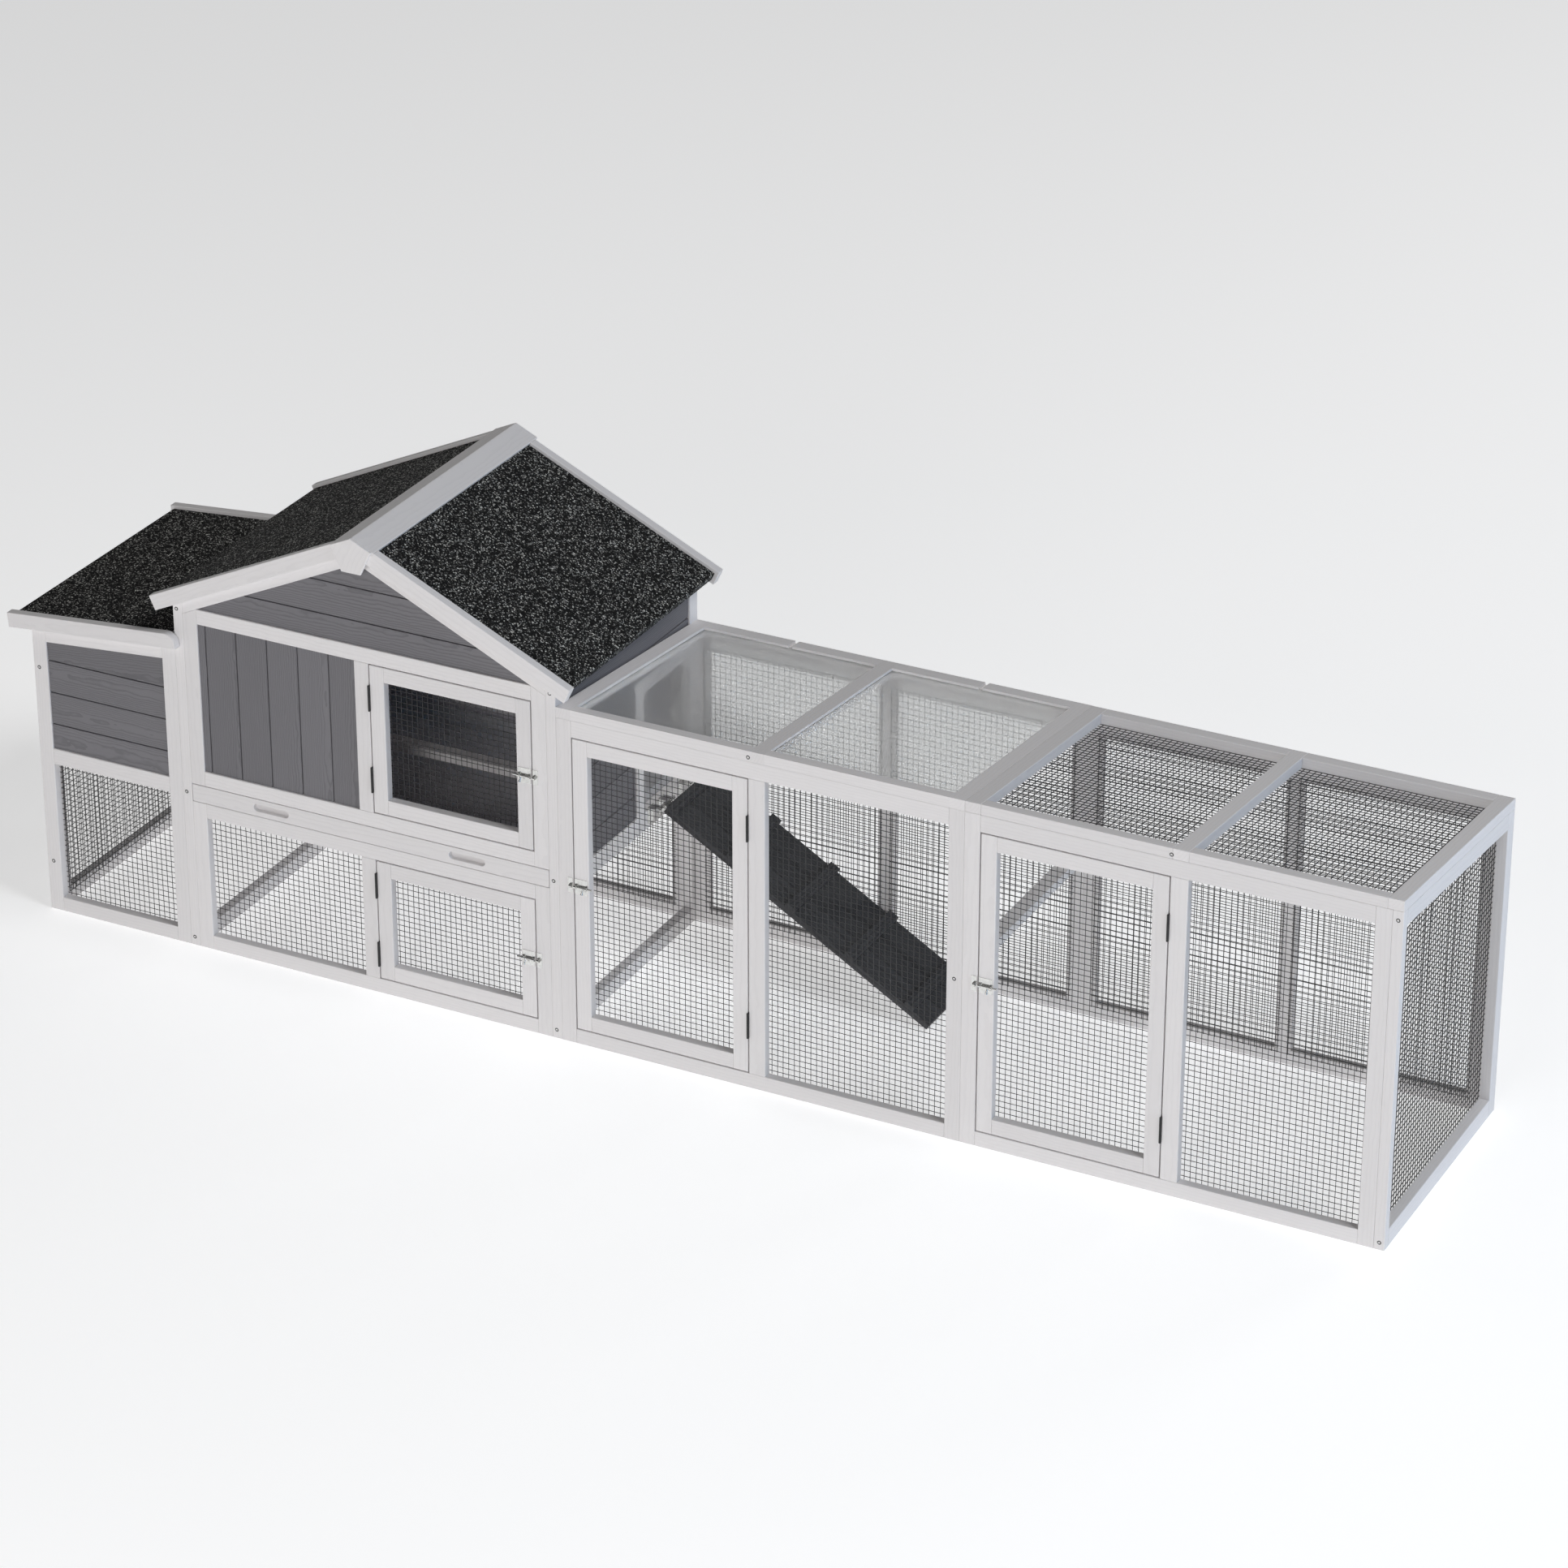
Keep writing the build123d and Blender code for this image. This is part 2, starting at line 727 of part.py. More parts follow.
run_modules = [(0.0, module_length), (module_length, run_end - panel_thick)]
front_depth = (0.0, stick_thick)
back_depth = (back_face, coop_depth)
run_head = run_top(stick_thick) - run_top_rail
run_back_head = run_top(coop_depth) - run_top_rail
front_nets = []
back_nets = []
for number, (left, right) in enumerate(run_modules, start=1):
    keep(f"run_{number}_front_frame", run_frame(left, right, front_depth))
    keep(f"run_{number}_back_frame", run_frame(left, right, back_depth))
    door_side = (left + stick_width, left + stick_width + run_door_width)
    fixed_side = (door_side[1] + run_mid_width, right - stick_width)
    front_nets.append(wire_net(net_front, fixed_side, (stick_width, run_head)))
    for span in (door_side, fixed_side):
        back_nets.append(wire_net(net_back, span, (stick_width, run_back_head)))
keep("run_front_mesh", front_nets)
keep("run_back_mesh", back_nets)

# End panel of the run.
end_face = run_end - panel_thick
end_back = (coop_depth - stick_width, coop_depth)
end_inner = (end_stile_front, end_back[0])
end_head = [
    (end_inner[0], run_top(end_inner[0], -run_top_rail)),
    (end_inner[1], run_top(end_inner[1], -run_top_rail)),
    (end_inner[1], run_top(end_inner[1])),
    (end_inner[0], run_top(end_inner[0])),
]
end_plane = Plane.YZ.offset(end_face)
keep(
    "run_end_frame",
    [
        topped_stick((end_face, run_end), (0.0, end_stile_front), 0),
        topped_stick((end_face, run_end), end_back, 0),
        side_stick(end_face, end_inner, (0, end_bottom_rail)),
        shape(end_plane, end_head, panel_thick),
    ],
)
end_net_span = (end_stile_front + net_lap, end_back[0])
keep(
    "run_end_mesh",
    [wire_net(end_plane, end_net_span, (end_bottom_rail, run_top(end_inner[1], -run_top_rail)))],
)


# Roofs of the run: frames of the same thickness as the walls, sloped to the back. The
# first holds two clear panes in grooves, with a drain notch behind each. The second has
# net under its sticks.
def roof_stick(x_span, y_span, low=0.0, high=panel_thick):
    """A stick or sheet that follows the slope of the run roof."""
    outline = [
        (y_span[0], run_top(y_span[0], low)),
        (y_span[1], run_top(y_span[1], low)),
        (y_span[1], run_top(y_span[1], high)),
        (y_span[0], run_top(y_span[0], high)),
    ]
    return shape(Plane.YZ.offset(x_span[0]), outline, x_span[1] - x_span[0])


def roof_fields(left, right):
    """The two open fields of a run roof, left and right of its middle stick."""
    middle = (left + right) / 2
    return [
        (left + stick_width, middle - stick_width / 2),
        (middle + stick_width / 2, right - stick_width),
    ]


roof_y = (roof_front_rail, coop_depth - stick_width)


def roof_frame(left, right):
    """Outer sticks, a middle stick, and short front and back rails in each field."""
    fields = roof_fields(left, right)
    long_sticks = [(left, fields[0][0]), (fields[0][1], fields[1][0]), (fields[1][1], right)]
    sticks = [roof_stick(span, (0, coop_depth)) for span in long_sticks]
    for field in fields:
        sticks.append(roof_stick(field, (0, roof_y[0])))
        sticks.append(roof_stick(field, (roof_y[1], coop_depth)))
    return sticks


pane_top = panel_thick - pane_drop
panes = []
cuts = []
for field in roof_fields(0.0, module_length):
    x_span = (field[0] - pane_bite, field[1] + pane_bite)
    y_span = (roof_y[0] - pane_bite, roof_y[1] + pane_bite)
    panes.append(roof_stick(x_span, y_span, pane_top - pane_thick, pane_top))
    groove_x = (x_span[0] - pane_play, x_span[1] + pane_play)
    groove_y = (y_span[0] - pane_play, y_span[1] + pane_play)
    groove = (pane_top - pane_thick - pane_play, pane_top + pane_play)
    cuts.append(roof_stick(groove_x, groove_y, groove[0], groove[1]))
    middle = (field[0] + field[1]) / 2
    notch = (middle - drain_width / 2, middle + drain_width / 2)
    cuts.append(roof_stick(notch, (roof_y[1] - 1, coop_depth + 1), pane_top, panel_thick + 1))
pane_frame = []
for stick in roof_frame(0.0, module_length):
    with BuildPart() as grooved:
        add(stick)
        for cut in cuts:
            add(cut, mode=Mode.SUBTRACT)
    pane_frame.append(grooved.part)
keep("run_1_roof_frame", pane_frame)
keep("run_1_roof_panes", panes)
keep("run_2_roof_frame", roof_frame(module_length, run_end))
roof_slope = Plane(
    origin=(0, 0, run_front_height), x_dir=(1, 0, 0), z_dir=(0, run_fall / coop_depth, 1)
)
net_y = (stick_thick + 2 * net_lap, back_face - 2 * net_lap)
roof_nets = []
for field in roof_fields(module_length, run_end):
    roof_nets.append(wire_net(roof_slope, field, net_y))
keep("run_2_roof_mesh", roof_nets)


# Doors. Each is a frame of four sticks with net on its back, two hinges in the gap at one
# side and a slide bolt at the other. The sticks are cut a gap smaller all round.
def door(name, x_span, z_span, hinge_side, latch_z, inset):
    """Write one door and return its fixed hinge halves and its keeper."""
    low, high = x_span[0] + door_gap, x_span[1] - door_gap
    foot, head = z_span[0] + door_gap, z_span[1] - door_gap
    inner = (low + stick_width, high - stick_width)
    opening = (foot + stick_width, head - stick_width)
    keep(
        f"{name}_frame",
        [
            front_stick((low, inner[0]), (foot, head)),
            front_stick((inner[1], high), (foot, head)),
            front_stick(inner, (foot, opening[0])),
            front_stick(inner, (opening[1], head)),
        ],
    )
    keep(f"{name}_mesh", [wire_net(net_front, inner, opening)])
    pin_x = x_span[1] - door_gap / 2 if hinge_side > 0 else x_span[0] + door_gap / 2
    hinge_feet = (z_span[0] + inset - hinge_height / 2, z_span[1] - inset - hinge_height / 2)
    fixed = [hinge_leaf(pin_x, foot_z, hinge_side, True) for foot_z in hinge_feet]
    moving = [hinge_leaf(pin_x, foot_z, -hinge_side, False) for foot_z in hinge_feet]
    free_edge = low if hinge_side > 0 else high
    latch_end = free_edge + hinge_side * latch_setback
    moving.append(latch_body(latch_end, hinge_side, latch_z))
    keep(f"{name}_fittings", moving)
    keep(f"{name}_bolt", [slide_bolt(latch_end, hinge_side, latch_z)])
    keeper_end = free_edge - hinge_side * (door_gap + latch_setback)
    return fixed, keeper(keeper_end, -hinge_side, latch_z)


def hinge_leaf(pin_x, foot, side, fixed):
    """One half of a butt hinge. The fixed half has the pin and the two end knuckles."""
    knuckle = hinge_height / 3
    if fixed:
        spans = [(foot, foot + knuckle), (foot + 2 * knuckle, foot + hinge_height)]
    else:
        spans = [(foot + knuckle + knuckle_gap, foot + 2 * knuckle - knuckle_gap)]
    leaf_x = pin_x + side * (door_gap - leaf_thick) / 2
    with BuildPart() as leaf:
        with BuildSketch(Plane.XY.offset(foot)):
            with Locations((leaf_x, leaf_depth / 2)):
                Rectangle(leaf_thick, leaf_depth)
        extrude(amount=hinge_height)
        for low, high in spans:
            with BuildSketch(Plane.XY.offset(low)):
                barrel(knuckle_radius, (pin_x, -pin_out))
                with Locations((leaf_x, (leaf_depth - pin_out) / 2)):
                    Rectangle(leaf_thick, leaf_depth + pin_out)
                if not fixed:
                    bore(pin_radius + pin_play, (pin_x, -pin_out))
            extrude(amount=high - low)
        if fixed:
            with BuildSketch(Plane.XY.offset(foot)):
                barrel(pin_radius, (pin_x, -pin_out))
            extrude(amount=hinge_height)
    return leaf.part


bolt_out = latch_plate + 0.8 + bolt_radius + bolt_play


def guided_plate(end, side, length, height, z_middle, guides):
    """A flat plate on the frame face with round guides that the bolt slides through."""
    middle = end + side * length / 2
    with BuildPart() as plate:
        with BuildSketch(Plane.XZ):
            with Locations((middle, z_middle)):
                Rectangle(length, height)
        extrude(amount=latch_plate)
        for place in guides:
            start = end + side * place - guide_width / 2
            with BuildSketch(Plane.YZ.offset(start)):
                barrel(bolt_radius + bolt_play + guide_wall, (-bolt_out, z_middle))
                with Locations((-bolt_out / 2, z_middle)):
                    Rectangle(bolt_out, 2 * (bolt_radius + bolt_play + guide_wall))
                bore(bolt_radius + bolt_play, (-bolt_out, z_middle))
            extrude(amount=guide_width)
    return plate.part


def latch_body(end, side, z_middle):
    """The plate on the door, with a guide at each end."""
    guides = (guide_width / 2, latch_length - guide_width / 2)
    return guided_plate(end, side, latch_length, latch_height, z_middle, guides)


def keeper(end, side, z_middle):
    """The plate on the fixed stile, with one guide near the door."""
    guides = (guide_width / 2 + latch_setback,)
    return guided_plate(end, side, keeper_length, latch_height, z_middle, guides)


def slide_bolt(end, side, z_middle):
    """The round bolt, drawn back, with a bent handle between the two guides."""
    tip = end + side * latch_setback / 2
    length = latch_length + bolt_travel - latch_setback
    tail = tip + side * length
    start = min(tip, tail)
    grip_x = end + side * (latch_length - guide_width - knob_radius - knuckle_gap)
    with BuildPart() as bolt:
        with BuildSketch(Plane.YZ.offset(start)):
            barrel(bolt_radius, (-bolt_out, z_middle))
        extrude(amount=length)
        grip = Plane(
            origin=(grip_x, -bolt_out, z_middle), x_dir=(1, 0, 0), z_dir=(0, -0.5, -0.87)
        )
        with BuildSketch(grip):
            barrel(handle_radius, (0, 0))
        extrude(amount=handle_length)
        with BuildSketch(grip.offset(handle_length - knob_length)):
            barrel(knob_radius, (0, 0))
        extrude(amount=knob_length)
    return bolt.part


upper_z = (floor_rail_top, header_low)
lower_z = (stick_width, lower_rail_low)
hutch_door_x = (hutch_mid_right, post_right)
run_z = (stick_width, run_head)
doors = [
    ("upper_door", hutch_door_x, upper_z, -1, sum(upper_z) / 2, hinge_inset + 18),
    ("lower_door", hutch_door_x, lower_z, -1, sum(lower_z) / 2, hinge_inset),
]
for number, (left, right) in enumerate(run_modules, start=1):
    span = (left + stick_width, left + stick_width + run_door_width)
    doors.append((f"run_door_{number}", span, run_z, 1, run_latch_height, run_hinge_inset + 20))
fixed_hinges = []
keepers = []
for name, x_span, z_span, side, latch_z, inset in doors:
    leaves, plate_part = door(name, x_span, z_span, side, latch_z, inset)
    fixed_hinges += leaves
    keepers.append(plate_part)
keep("door_hinge_fixed", fixed_hinges)
keep("latch_keepers", keepers)

# Strap hinges of the lid and of the ramp. The lid turns on pins level with its felt, the
# ramp on pins under its top end.
lid_pin = lid_point(lid_wall_gap / 2, cover_thick)
lid_hinge_length = 60.0
lid_barrel = 4.0
lid_leaf = 42.0
ramp_slope = radians(ramp_angle)
ramp_length = (ramp_top_z - ramp_foot_play) / sin(ramp_slope)


def ramp_point(along, rise):
    """A point of the ramp, measured down its underside from the top end."""
    return (
        ramp_top_x + along * cos(ramp_slope) + rise * sin(ramp_slope),
        ramp_top_z - along * sin(ramp_slope) + rise * cos(ramp_slope),
    )


ramp_pin = ramp_point(-ramp_pin_out, -ramp_pin_drop)


def barrel_hinge(pin, y_middle, length, radius, core, outlines, fixed):
    """One half of a three-knuckle hinge whose pin runs to the back."""
    third = length / 3
    start = y_middle - length / 2
    if fixed:
        spans = [(start, start + third), (start + 2 * third, start + length)]
    else:
        spans = [(start + third + knuckle_gap, start + 2 * third - knuckle_gap)]
    with BuildPart() as half:
        for low, high in spans:
            with BuildSketch(Plane.XZ.offset(-low)):
                barrel(radius, pin)
                for outline in outlines:
                    with BuildLine():
                        Polyline(*outline, close=True)
                    make_face()
                if not fixed:
                    bore(core + pin_play, pin)
            extrude(amount=-(high - low))
        if fixed:
            with BuildSketch(Plane.XZ.offset(-start)):
                barrel(core, pin)
            extrude(amount=-length)
    return half.part


wall_leaf = box_outline((hutch_left - strap_thick, hutch_left), (lid_pin[1] - 24, lid_pin[1] + 5))
wall_tab = box_outline(
    (lid_pin[0], hutch_left), (lid_pin[1] - strap_thick / 2, lid_pin[1] + strap_thick / 2)
)
ramp_leaf = box_outline((0, strap_thick), (sill_rail_top_height - 30, ramp_pin[1] + strap_thick))
ramp_tab = box_outline(
    (0, ramp_pin[0]), (ramp_pin[1] - strap_thick / 2, ramp_pin[1] + strap_thick / 2)
)
top_strap = [
    lid_point(lid_wall_gap / 2, cover_thick),
    lid_point(lid_wall_gap / 2 + lid_leaf, cover_thick),
    lid_point(lid_wall_gap / 2 + lid_leaf, cover_thick + strap_thick),
    lid_point(lid_wall_gap / 2, cover_thick + strap_thick),
]
under_strap = [
    ramp_point(-ramp_pin_out, -strap_thick),
    ramp_point(strap_length, -strap_thick),
    ramp_point(strap_length, 0),
    ramp_point(-ramp_pin_out, 0),
]
fixed_halves = []
lid_leaves = []
for place in (coop_depth / 6, coop_depth * 5 / 6):
    size = (lid_hinge_length, lid_barrel, strap_pin)
    fixed_halves.append(barrel_hinge(lid_pin, place, *size, [wall_leaf, wall_tab], True))
    lid_leaves.append(barrel_hinge(lid_pin, place, *size, [top_strap], False))
ramp_straps = []
ramp_third = (ramp_back - ramp_front) / 6
for place in (ramp_front + ramp_third, ramp_back - ramp_third):
    size = (3 * strap_width, strap_barrel, strap_pin)
    fixed_halves.append(barrel_hinge(ramp_pin, place, *size, [ramp_leaf, ramp_tab], True))
    ramp_straps.append(barrel_hinge(ramp_pin, place, *size, [under_strap], False))
keep("hinge_brackets", fixed_halves)
keep("lid_hinge_leaves", lid_leaves)
keep("ramp_straps", ramp_straps)

# Tray: a front board with two routed finger slots, and a shallow pan behind it.
tray_x = (hutch_left + panel_thick + tray_play, right_face - tray_play)
tray_z = (lower_rail_top_height + tray_play, floor_rail_low - tray_play)
with BuildPart() as tray_front:
    add(front_stick(tray_x, tray_z))
    with BuildSketch(Plane.XZ):
        with Locations(
            (hutch_middle - slot_offset, sum(tray_z) / 2),
            (hutch_middle + slot_offset, sum(tray_z) / 2),
        ):
            SlotOverall(slot_length, slot_height)
    extrude(amount=-slot_depth, mode=Mode.SUBTRACT)
keep("tray_front", [tray_front.part])
pan_y = (stick_thick, back_face - tray_play)
pan_rim_z = (tray_z[0] + tray_wall, tray_z[0] + pan_rim)
pan_floor = slab(Plane.XY.offset(tray_z[0]), tray_x, pan_y, tray_wall)
pan = [pan_floor]
for x_span in (
    (tray_x[0], tray_x[0] + tray_wall),
    (tray_x[1] - tray_wall, tray_x[1]),
):
    pan.append(slab(Plane.YZ.offset(x_span[0]), pan_y, pan_rim_z, tray_wall))
rim_x = (tray_x[0] + tray_wall, tray_x[1] - tray_wall)
for face in (pan_y[0], pan_y[1] - tray_wall):
    pan.append(slab(Plane.XZ.offset(-face), rim_x, pan_rim_z, -tray_wall))
keep("tray_pan", pan)

# Ramp: three long boards side by side under five cleats.
ramp_plane = Plane(
    origin=(ramp_top_x, 0, ramp_top_z),
    x_dir=(cos(ramp_slope), 0, -sin(ramp_slope)),
    z_dir=(sin(ramp_slope), 0, cos(ramp_slope)),
)
ramp_boards = []
plank = (ramp_width - 2 * ramp_seam) / 3
for number in range(3):
    low = ramp_front + number * (plank + ramp_seam)
    ramp_boards.append(slab(ramp_plane, (0, ramp_length), (low, low + plank), ramp_thick))
keep("ramp_boards", ramp_boards)
cleats = []
cleat_y = (ramp_front - cleat_overhang, ramp_back + cleat_overhang)
cleat_step = (ramp_length - cleat_end - cleat_width / 2) / (cleat_count - 1)
for number in range(cleat_count):
    centre = ramp_length - cleat_end - number * cleat_step
    x_span = (centre - cleat_width / 2, centre + cleat_width / 2)
    cleats.append(slab(ramp_plane.offset(ramp_thick), x_span, cleat_y, cleat_height))
keep("ramp_cleats", cleats)
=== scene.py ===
import json
import math

import bmesh
import bpy
import numpy as np
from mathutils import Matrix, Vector

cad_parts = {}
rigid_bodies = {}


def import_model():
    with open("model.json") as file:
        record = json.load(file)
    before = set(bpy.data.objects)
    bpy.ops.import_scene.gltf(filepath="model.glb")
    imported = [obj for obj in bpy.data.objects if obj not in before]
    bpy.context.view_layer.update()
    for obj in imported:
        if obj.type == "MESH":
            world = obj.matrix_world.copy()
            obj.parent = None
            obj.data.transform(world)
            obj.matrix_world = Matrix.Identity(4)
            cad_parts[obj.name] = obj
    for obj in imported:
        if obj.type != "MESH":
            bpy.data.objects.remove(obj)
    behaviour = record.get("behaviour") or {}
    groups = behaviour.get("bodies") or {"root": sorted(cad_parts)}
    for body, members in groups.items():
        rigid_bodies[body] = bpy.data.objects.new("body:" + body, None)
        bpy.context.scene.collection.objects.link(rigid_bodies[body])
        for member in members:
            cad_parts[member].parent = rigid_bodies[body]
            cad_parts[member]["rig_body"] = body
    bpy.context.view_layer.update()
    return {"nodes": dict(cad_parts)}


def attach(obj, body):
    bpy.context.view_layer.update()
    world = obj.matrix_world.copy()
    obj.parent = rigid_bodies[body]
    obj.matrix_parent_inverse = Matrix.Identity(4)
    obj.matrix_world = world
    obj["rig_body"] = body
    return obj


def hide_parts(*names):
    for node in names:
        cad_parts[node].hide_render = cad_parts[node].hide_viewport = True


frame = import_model()
nodes = frame["nodes"]


# View, floor and light. The coop stands on a plain pale floor. A long lens looks down on
# its front right corner. Broad soft lights stand before the front, above the run, behind,
# and at the right end, where the light is blue, as in a bright studio.
view_from = Vector((4.533, -8.6385, 5.437))
view_along = Vector((-0.4072, 0.7944, -0.4506))
lens = bpy.data.cameras.new("long_lens")
lens.sensor_width = 36.0
lens.lens = 121.4
lens.clip_end = 200.0
camera = bpy.data.objects.new("camera", lens)
camera.location = view_from
camera.rotation_euler = view_along.to_track_quat("-Z", "Y").to_euler()
bpy.context.scene.collection.objects.link(camera)
bpy.context.scene.camera = camera

floor_reach = 60.0
floor_mesh = bpy.data.meshes.new("studio_floor")
floor_mesh.from_pydata(
    [
        (-floor_reach, -floor_reach, 0.0),
        (floor_reach, -floor_reach, 0.0),
        (floor_reach, floor_reach, 0.0),
        (-floor_reach, floor_reach, 0.0),
    ],
    [],
    [(0, 1, 2, 3)],
)
floor = bpy.data.objects.new("studio_floor", floor_mesh)
bpy.context.scene.collection.objects.link(floor)
floor_paint = bpy.data.materials.new("studio_floor")
floor_paint.use_nodes = True
floor_shader = floor_paint.node_tree.nodes["Principled BSDF"]
floor_shader.inputs["Base Color"].default_value = (0.80, 0.80, 0.80, 1.0)
floor_shader.inputs["Roughness"].default_value = 0.9
floor_shader.inputs["Emission Color"].default_value = (1.0, 1.0, 1.0, 1.0)
floor_shader.inputs["Emission Strength"].default_value = 0.52
floor_mesh.materials.append(floor_paint)

sky = bpy.data.worlds.new("studio_sky")
sky.use_nodes = True
sky.node_tree.nodes["Background"].inputs["Color"].default_value = (1.0, 1.0, 1.0, 1.0)
sky.node_tree.nodes["Background"].inputs["Strength"].default_value = 0.07
bpy.context.scene.world = sky
bpy.context.scene.view_settings.view_transform = "Standard"
coop_heart = Vector((0.0, 0.0, 0.4))


def soft_box(name, place, size, power, colour):
    """A square area light at a place, turned to shine at the heart of the coop."""
    lamp = bpy.data.lights.new(name, "AREA")
    lamp.size = size
    lamp.energy = power
    lamp.color = colour
    box = bpy.data.objects.new(name, lamp)
    box.location = place
    box.rotation_euler = (coop_heart - Vector(place)).to_track_quat("-Z", "Y").to_euler()
    bpy.context.scene.collection.objects.link(box)


soft_box("front_light", (1.0, -9.0, 2.8), 4.0, 262.0, (1.0, 0.985, 0.98))
soft_box("top_light", (5.0, -1.0, 8.2), 3.0, 310.0, (1.0, 1.0, 1.0))
soft_box("end_light", (9.0, -1.0, 2.0), 3.0, 85.0, (0.0, 0.42, 1.0))
soft_box("back_light", (4.5, 8.5, 3.0), 3.0, 110.0, (1.0, 1.0, 1.0))


# Frames of the hutch. Planed softwood sticks, screwed together with butt joints and
# painted off-white before assembly, so each stick has its own faint tone, its edges are
# eased and its grain shows weakly through the paint.
edge_ease = 0.0014
white_pale = (0.800, 0.780, 0.780, 1.0)
white_shade = (0.700, 0.680, 0.685, 1.0)
stick_tones = np.random.default_rng(41)

# Limits for the copies of all pieces, in metres and radians. Corners that round to the same
# step of the weld grid, which has weld_steps to the metre, are one corner. The place that
# drives a piece's rings is moved at random by up to heart_reach times heart_share along,
# across and through the piece.
weld_steps = 1e5
crease_cosine = 0.99
square_cosine = 0.02
shortest_edge = 1e-6
heart_reach = 4.0
heart_share = (1.0, 0.004, 0.004)
flat_angle = 0.003
round_angle = math.radians(40.0)
ease_angle = math.radians(35.0)


def closed_pieces(node):
    """The closed pieces of a node, as (corner places, triangles) pairs. The node's loose
    triangles are taken in order, and a piece ends where each of its edges was met twice."""
    mesh = nodes[node].data
    places = np.empty(len(mesh.vertices) * 3)
    mesh.vertices.foreach_get("co", places)
    places = places.reshape(-1, 3)
    corners = np.empty(len(mesh.loops), np.int64)
    mesh.loops.foreach_get("vertex_index", corners)
    grid = np.round(places * weld_steps).astype(np.int64)
    _, first, joined = np.unique(grid, axis=0, return_index=True, return_inverse=True)
    triangles = joined.reshape(-1)[corners].reshape(-1, 3)
    pieces = []
    unmet = set()
    start = 0
    for number, (a, b, c) in enumerate(triangles.tolist()):
        unmet ^= {(min(a, b), max(a, b))}
        unmet ^= {(min(b, c), max(b, c))}
        unmet ^= {(min(c, a), max(c, a))}
        if not unmet:
            used, local = np.unique(triangles[start:number + 1], return_inverse=True)
            pieces.append((places[first[used]], local.reshape(-1, 3)))
            start = number + 1
    return pieces


def own_axes(places, triangles):
    """Three unit directions of a piece: its longest crease, the direction square to it that
    holds the next longest crease, and the cross product of the two. A crease is an edge
    whose two triangles have different normals, so diagonals of flat faces are left out."""
    edges = places[triangles[:, [1, 2, 0]]] - places[triangles]
    normals = np.cross(edges[:, 0], edges[:, 1])
    normals /= np.maximum(np.linalg.norm(normals, axis=1), 1e-12)[:, None]
    ends = np.stack([triangles, triangles[:, [1, 2, 0]]], -1).reshape(-1, 2)
    ends.sort(axis=1)
    order = np.lexsort((ends[:, 1], ends[:, 0]))
    one, other = order[0::2], order[1::2]
    creased = (normals[one // 3] * normals[other // 3]).sum(1) < crease_cosine
    edges = edges.reshape(-1, 3)[one[creased]]
    lengths = np.linalg.norm(edges, axis=1)
    along = edges[lengths.argmax()] / lengths.max()
    square = np.abs(edges @ along) < square_cosine * lengths
    square[lengths < shortest_edge] = False
    across = edges[np.where(square, lengths, 0.0).argmax()]
    across = across - along * (across @ along)
    across = across / np.linalg.norm(across)
    return np.array([along, across, np.cross(along, across)])


def whole_copy(name, pieces, ease, smooth=False):
    """One object of closed pieces with flat faces made whole and edges eased. Each corner
    carries its place along, across and through its own piece, and the piece's own tone."""
    places = np.concatenate([corners for corners, _ in pieces])
    shifts = np.cumsum([0] + [len(corners) for corners, _ in pieces])
    faces = np.concatenate([tri + shift for (_, tri), shift in zip(pieces, shifts)])
    grain = np.empty_like(places)
    tone = np.empty(len(places))
    for (corners, tri), low, high in zip(pieces, shifts, shifts[1:]):
        axes = own_axes(corners, tri)
        grain[low:high] = (corners - corners.mean(0)) @ axes.T
        grain[low:high] += stick_tones.uniform(-heart_reach, heart_reach, 3) * heart_share
        tone[low:high] = stick_tones.uniform(0.0, 1.0)
    mesh = bpy.data.meshes.new(name)
    mesh.from_pydata(places.tolist(), [], faces.tolist())
    along_grain = mesh.attributes.new("grain", "FLOAT_VECTOR", "POINT")
    along_grain.data.foreach_set("vector", grain.ravel())
    own_tone = mesh.attributes.new("tone", "FLOAT", "POINT")
    own_tone.data.foreach_set("value", tone)
    work = bmesh.new()
    work.from_mesh(mesh)
    bmesh.ops.dissolve_limit(work, angle_limit=flat_angle, verts=work.verts, edges=work.edges)
    work.to_mesh(mesh)
    work.free()
    mesh.validate()
    piece = bpy.data.objects.new(name, mesh)
    bpy.context.scene.collection.objects.link(piece)
    if smooth:
        mesh.shade_smooth()
        mesh.set_sharp_from_angle(angle=round_angle)
    if ease > 0:
        bevel = piece.modifiers.new("eased_edges", "BEVEL")
        bevel.width = ease
        bevel.segments = 2
        bevel.limit_method = "ANGLE"
        bevel.angle_limit = ease_angle
    return piece


def fit_over(piece, node, material):
    """Give a finished copy its material and let it stand for its node."""
    piece.data.materials.append(material)
    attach(piece, nodes[node]["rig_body"])
    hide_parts(node)


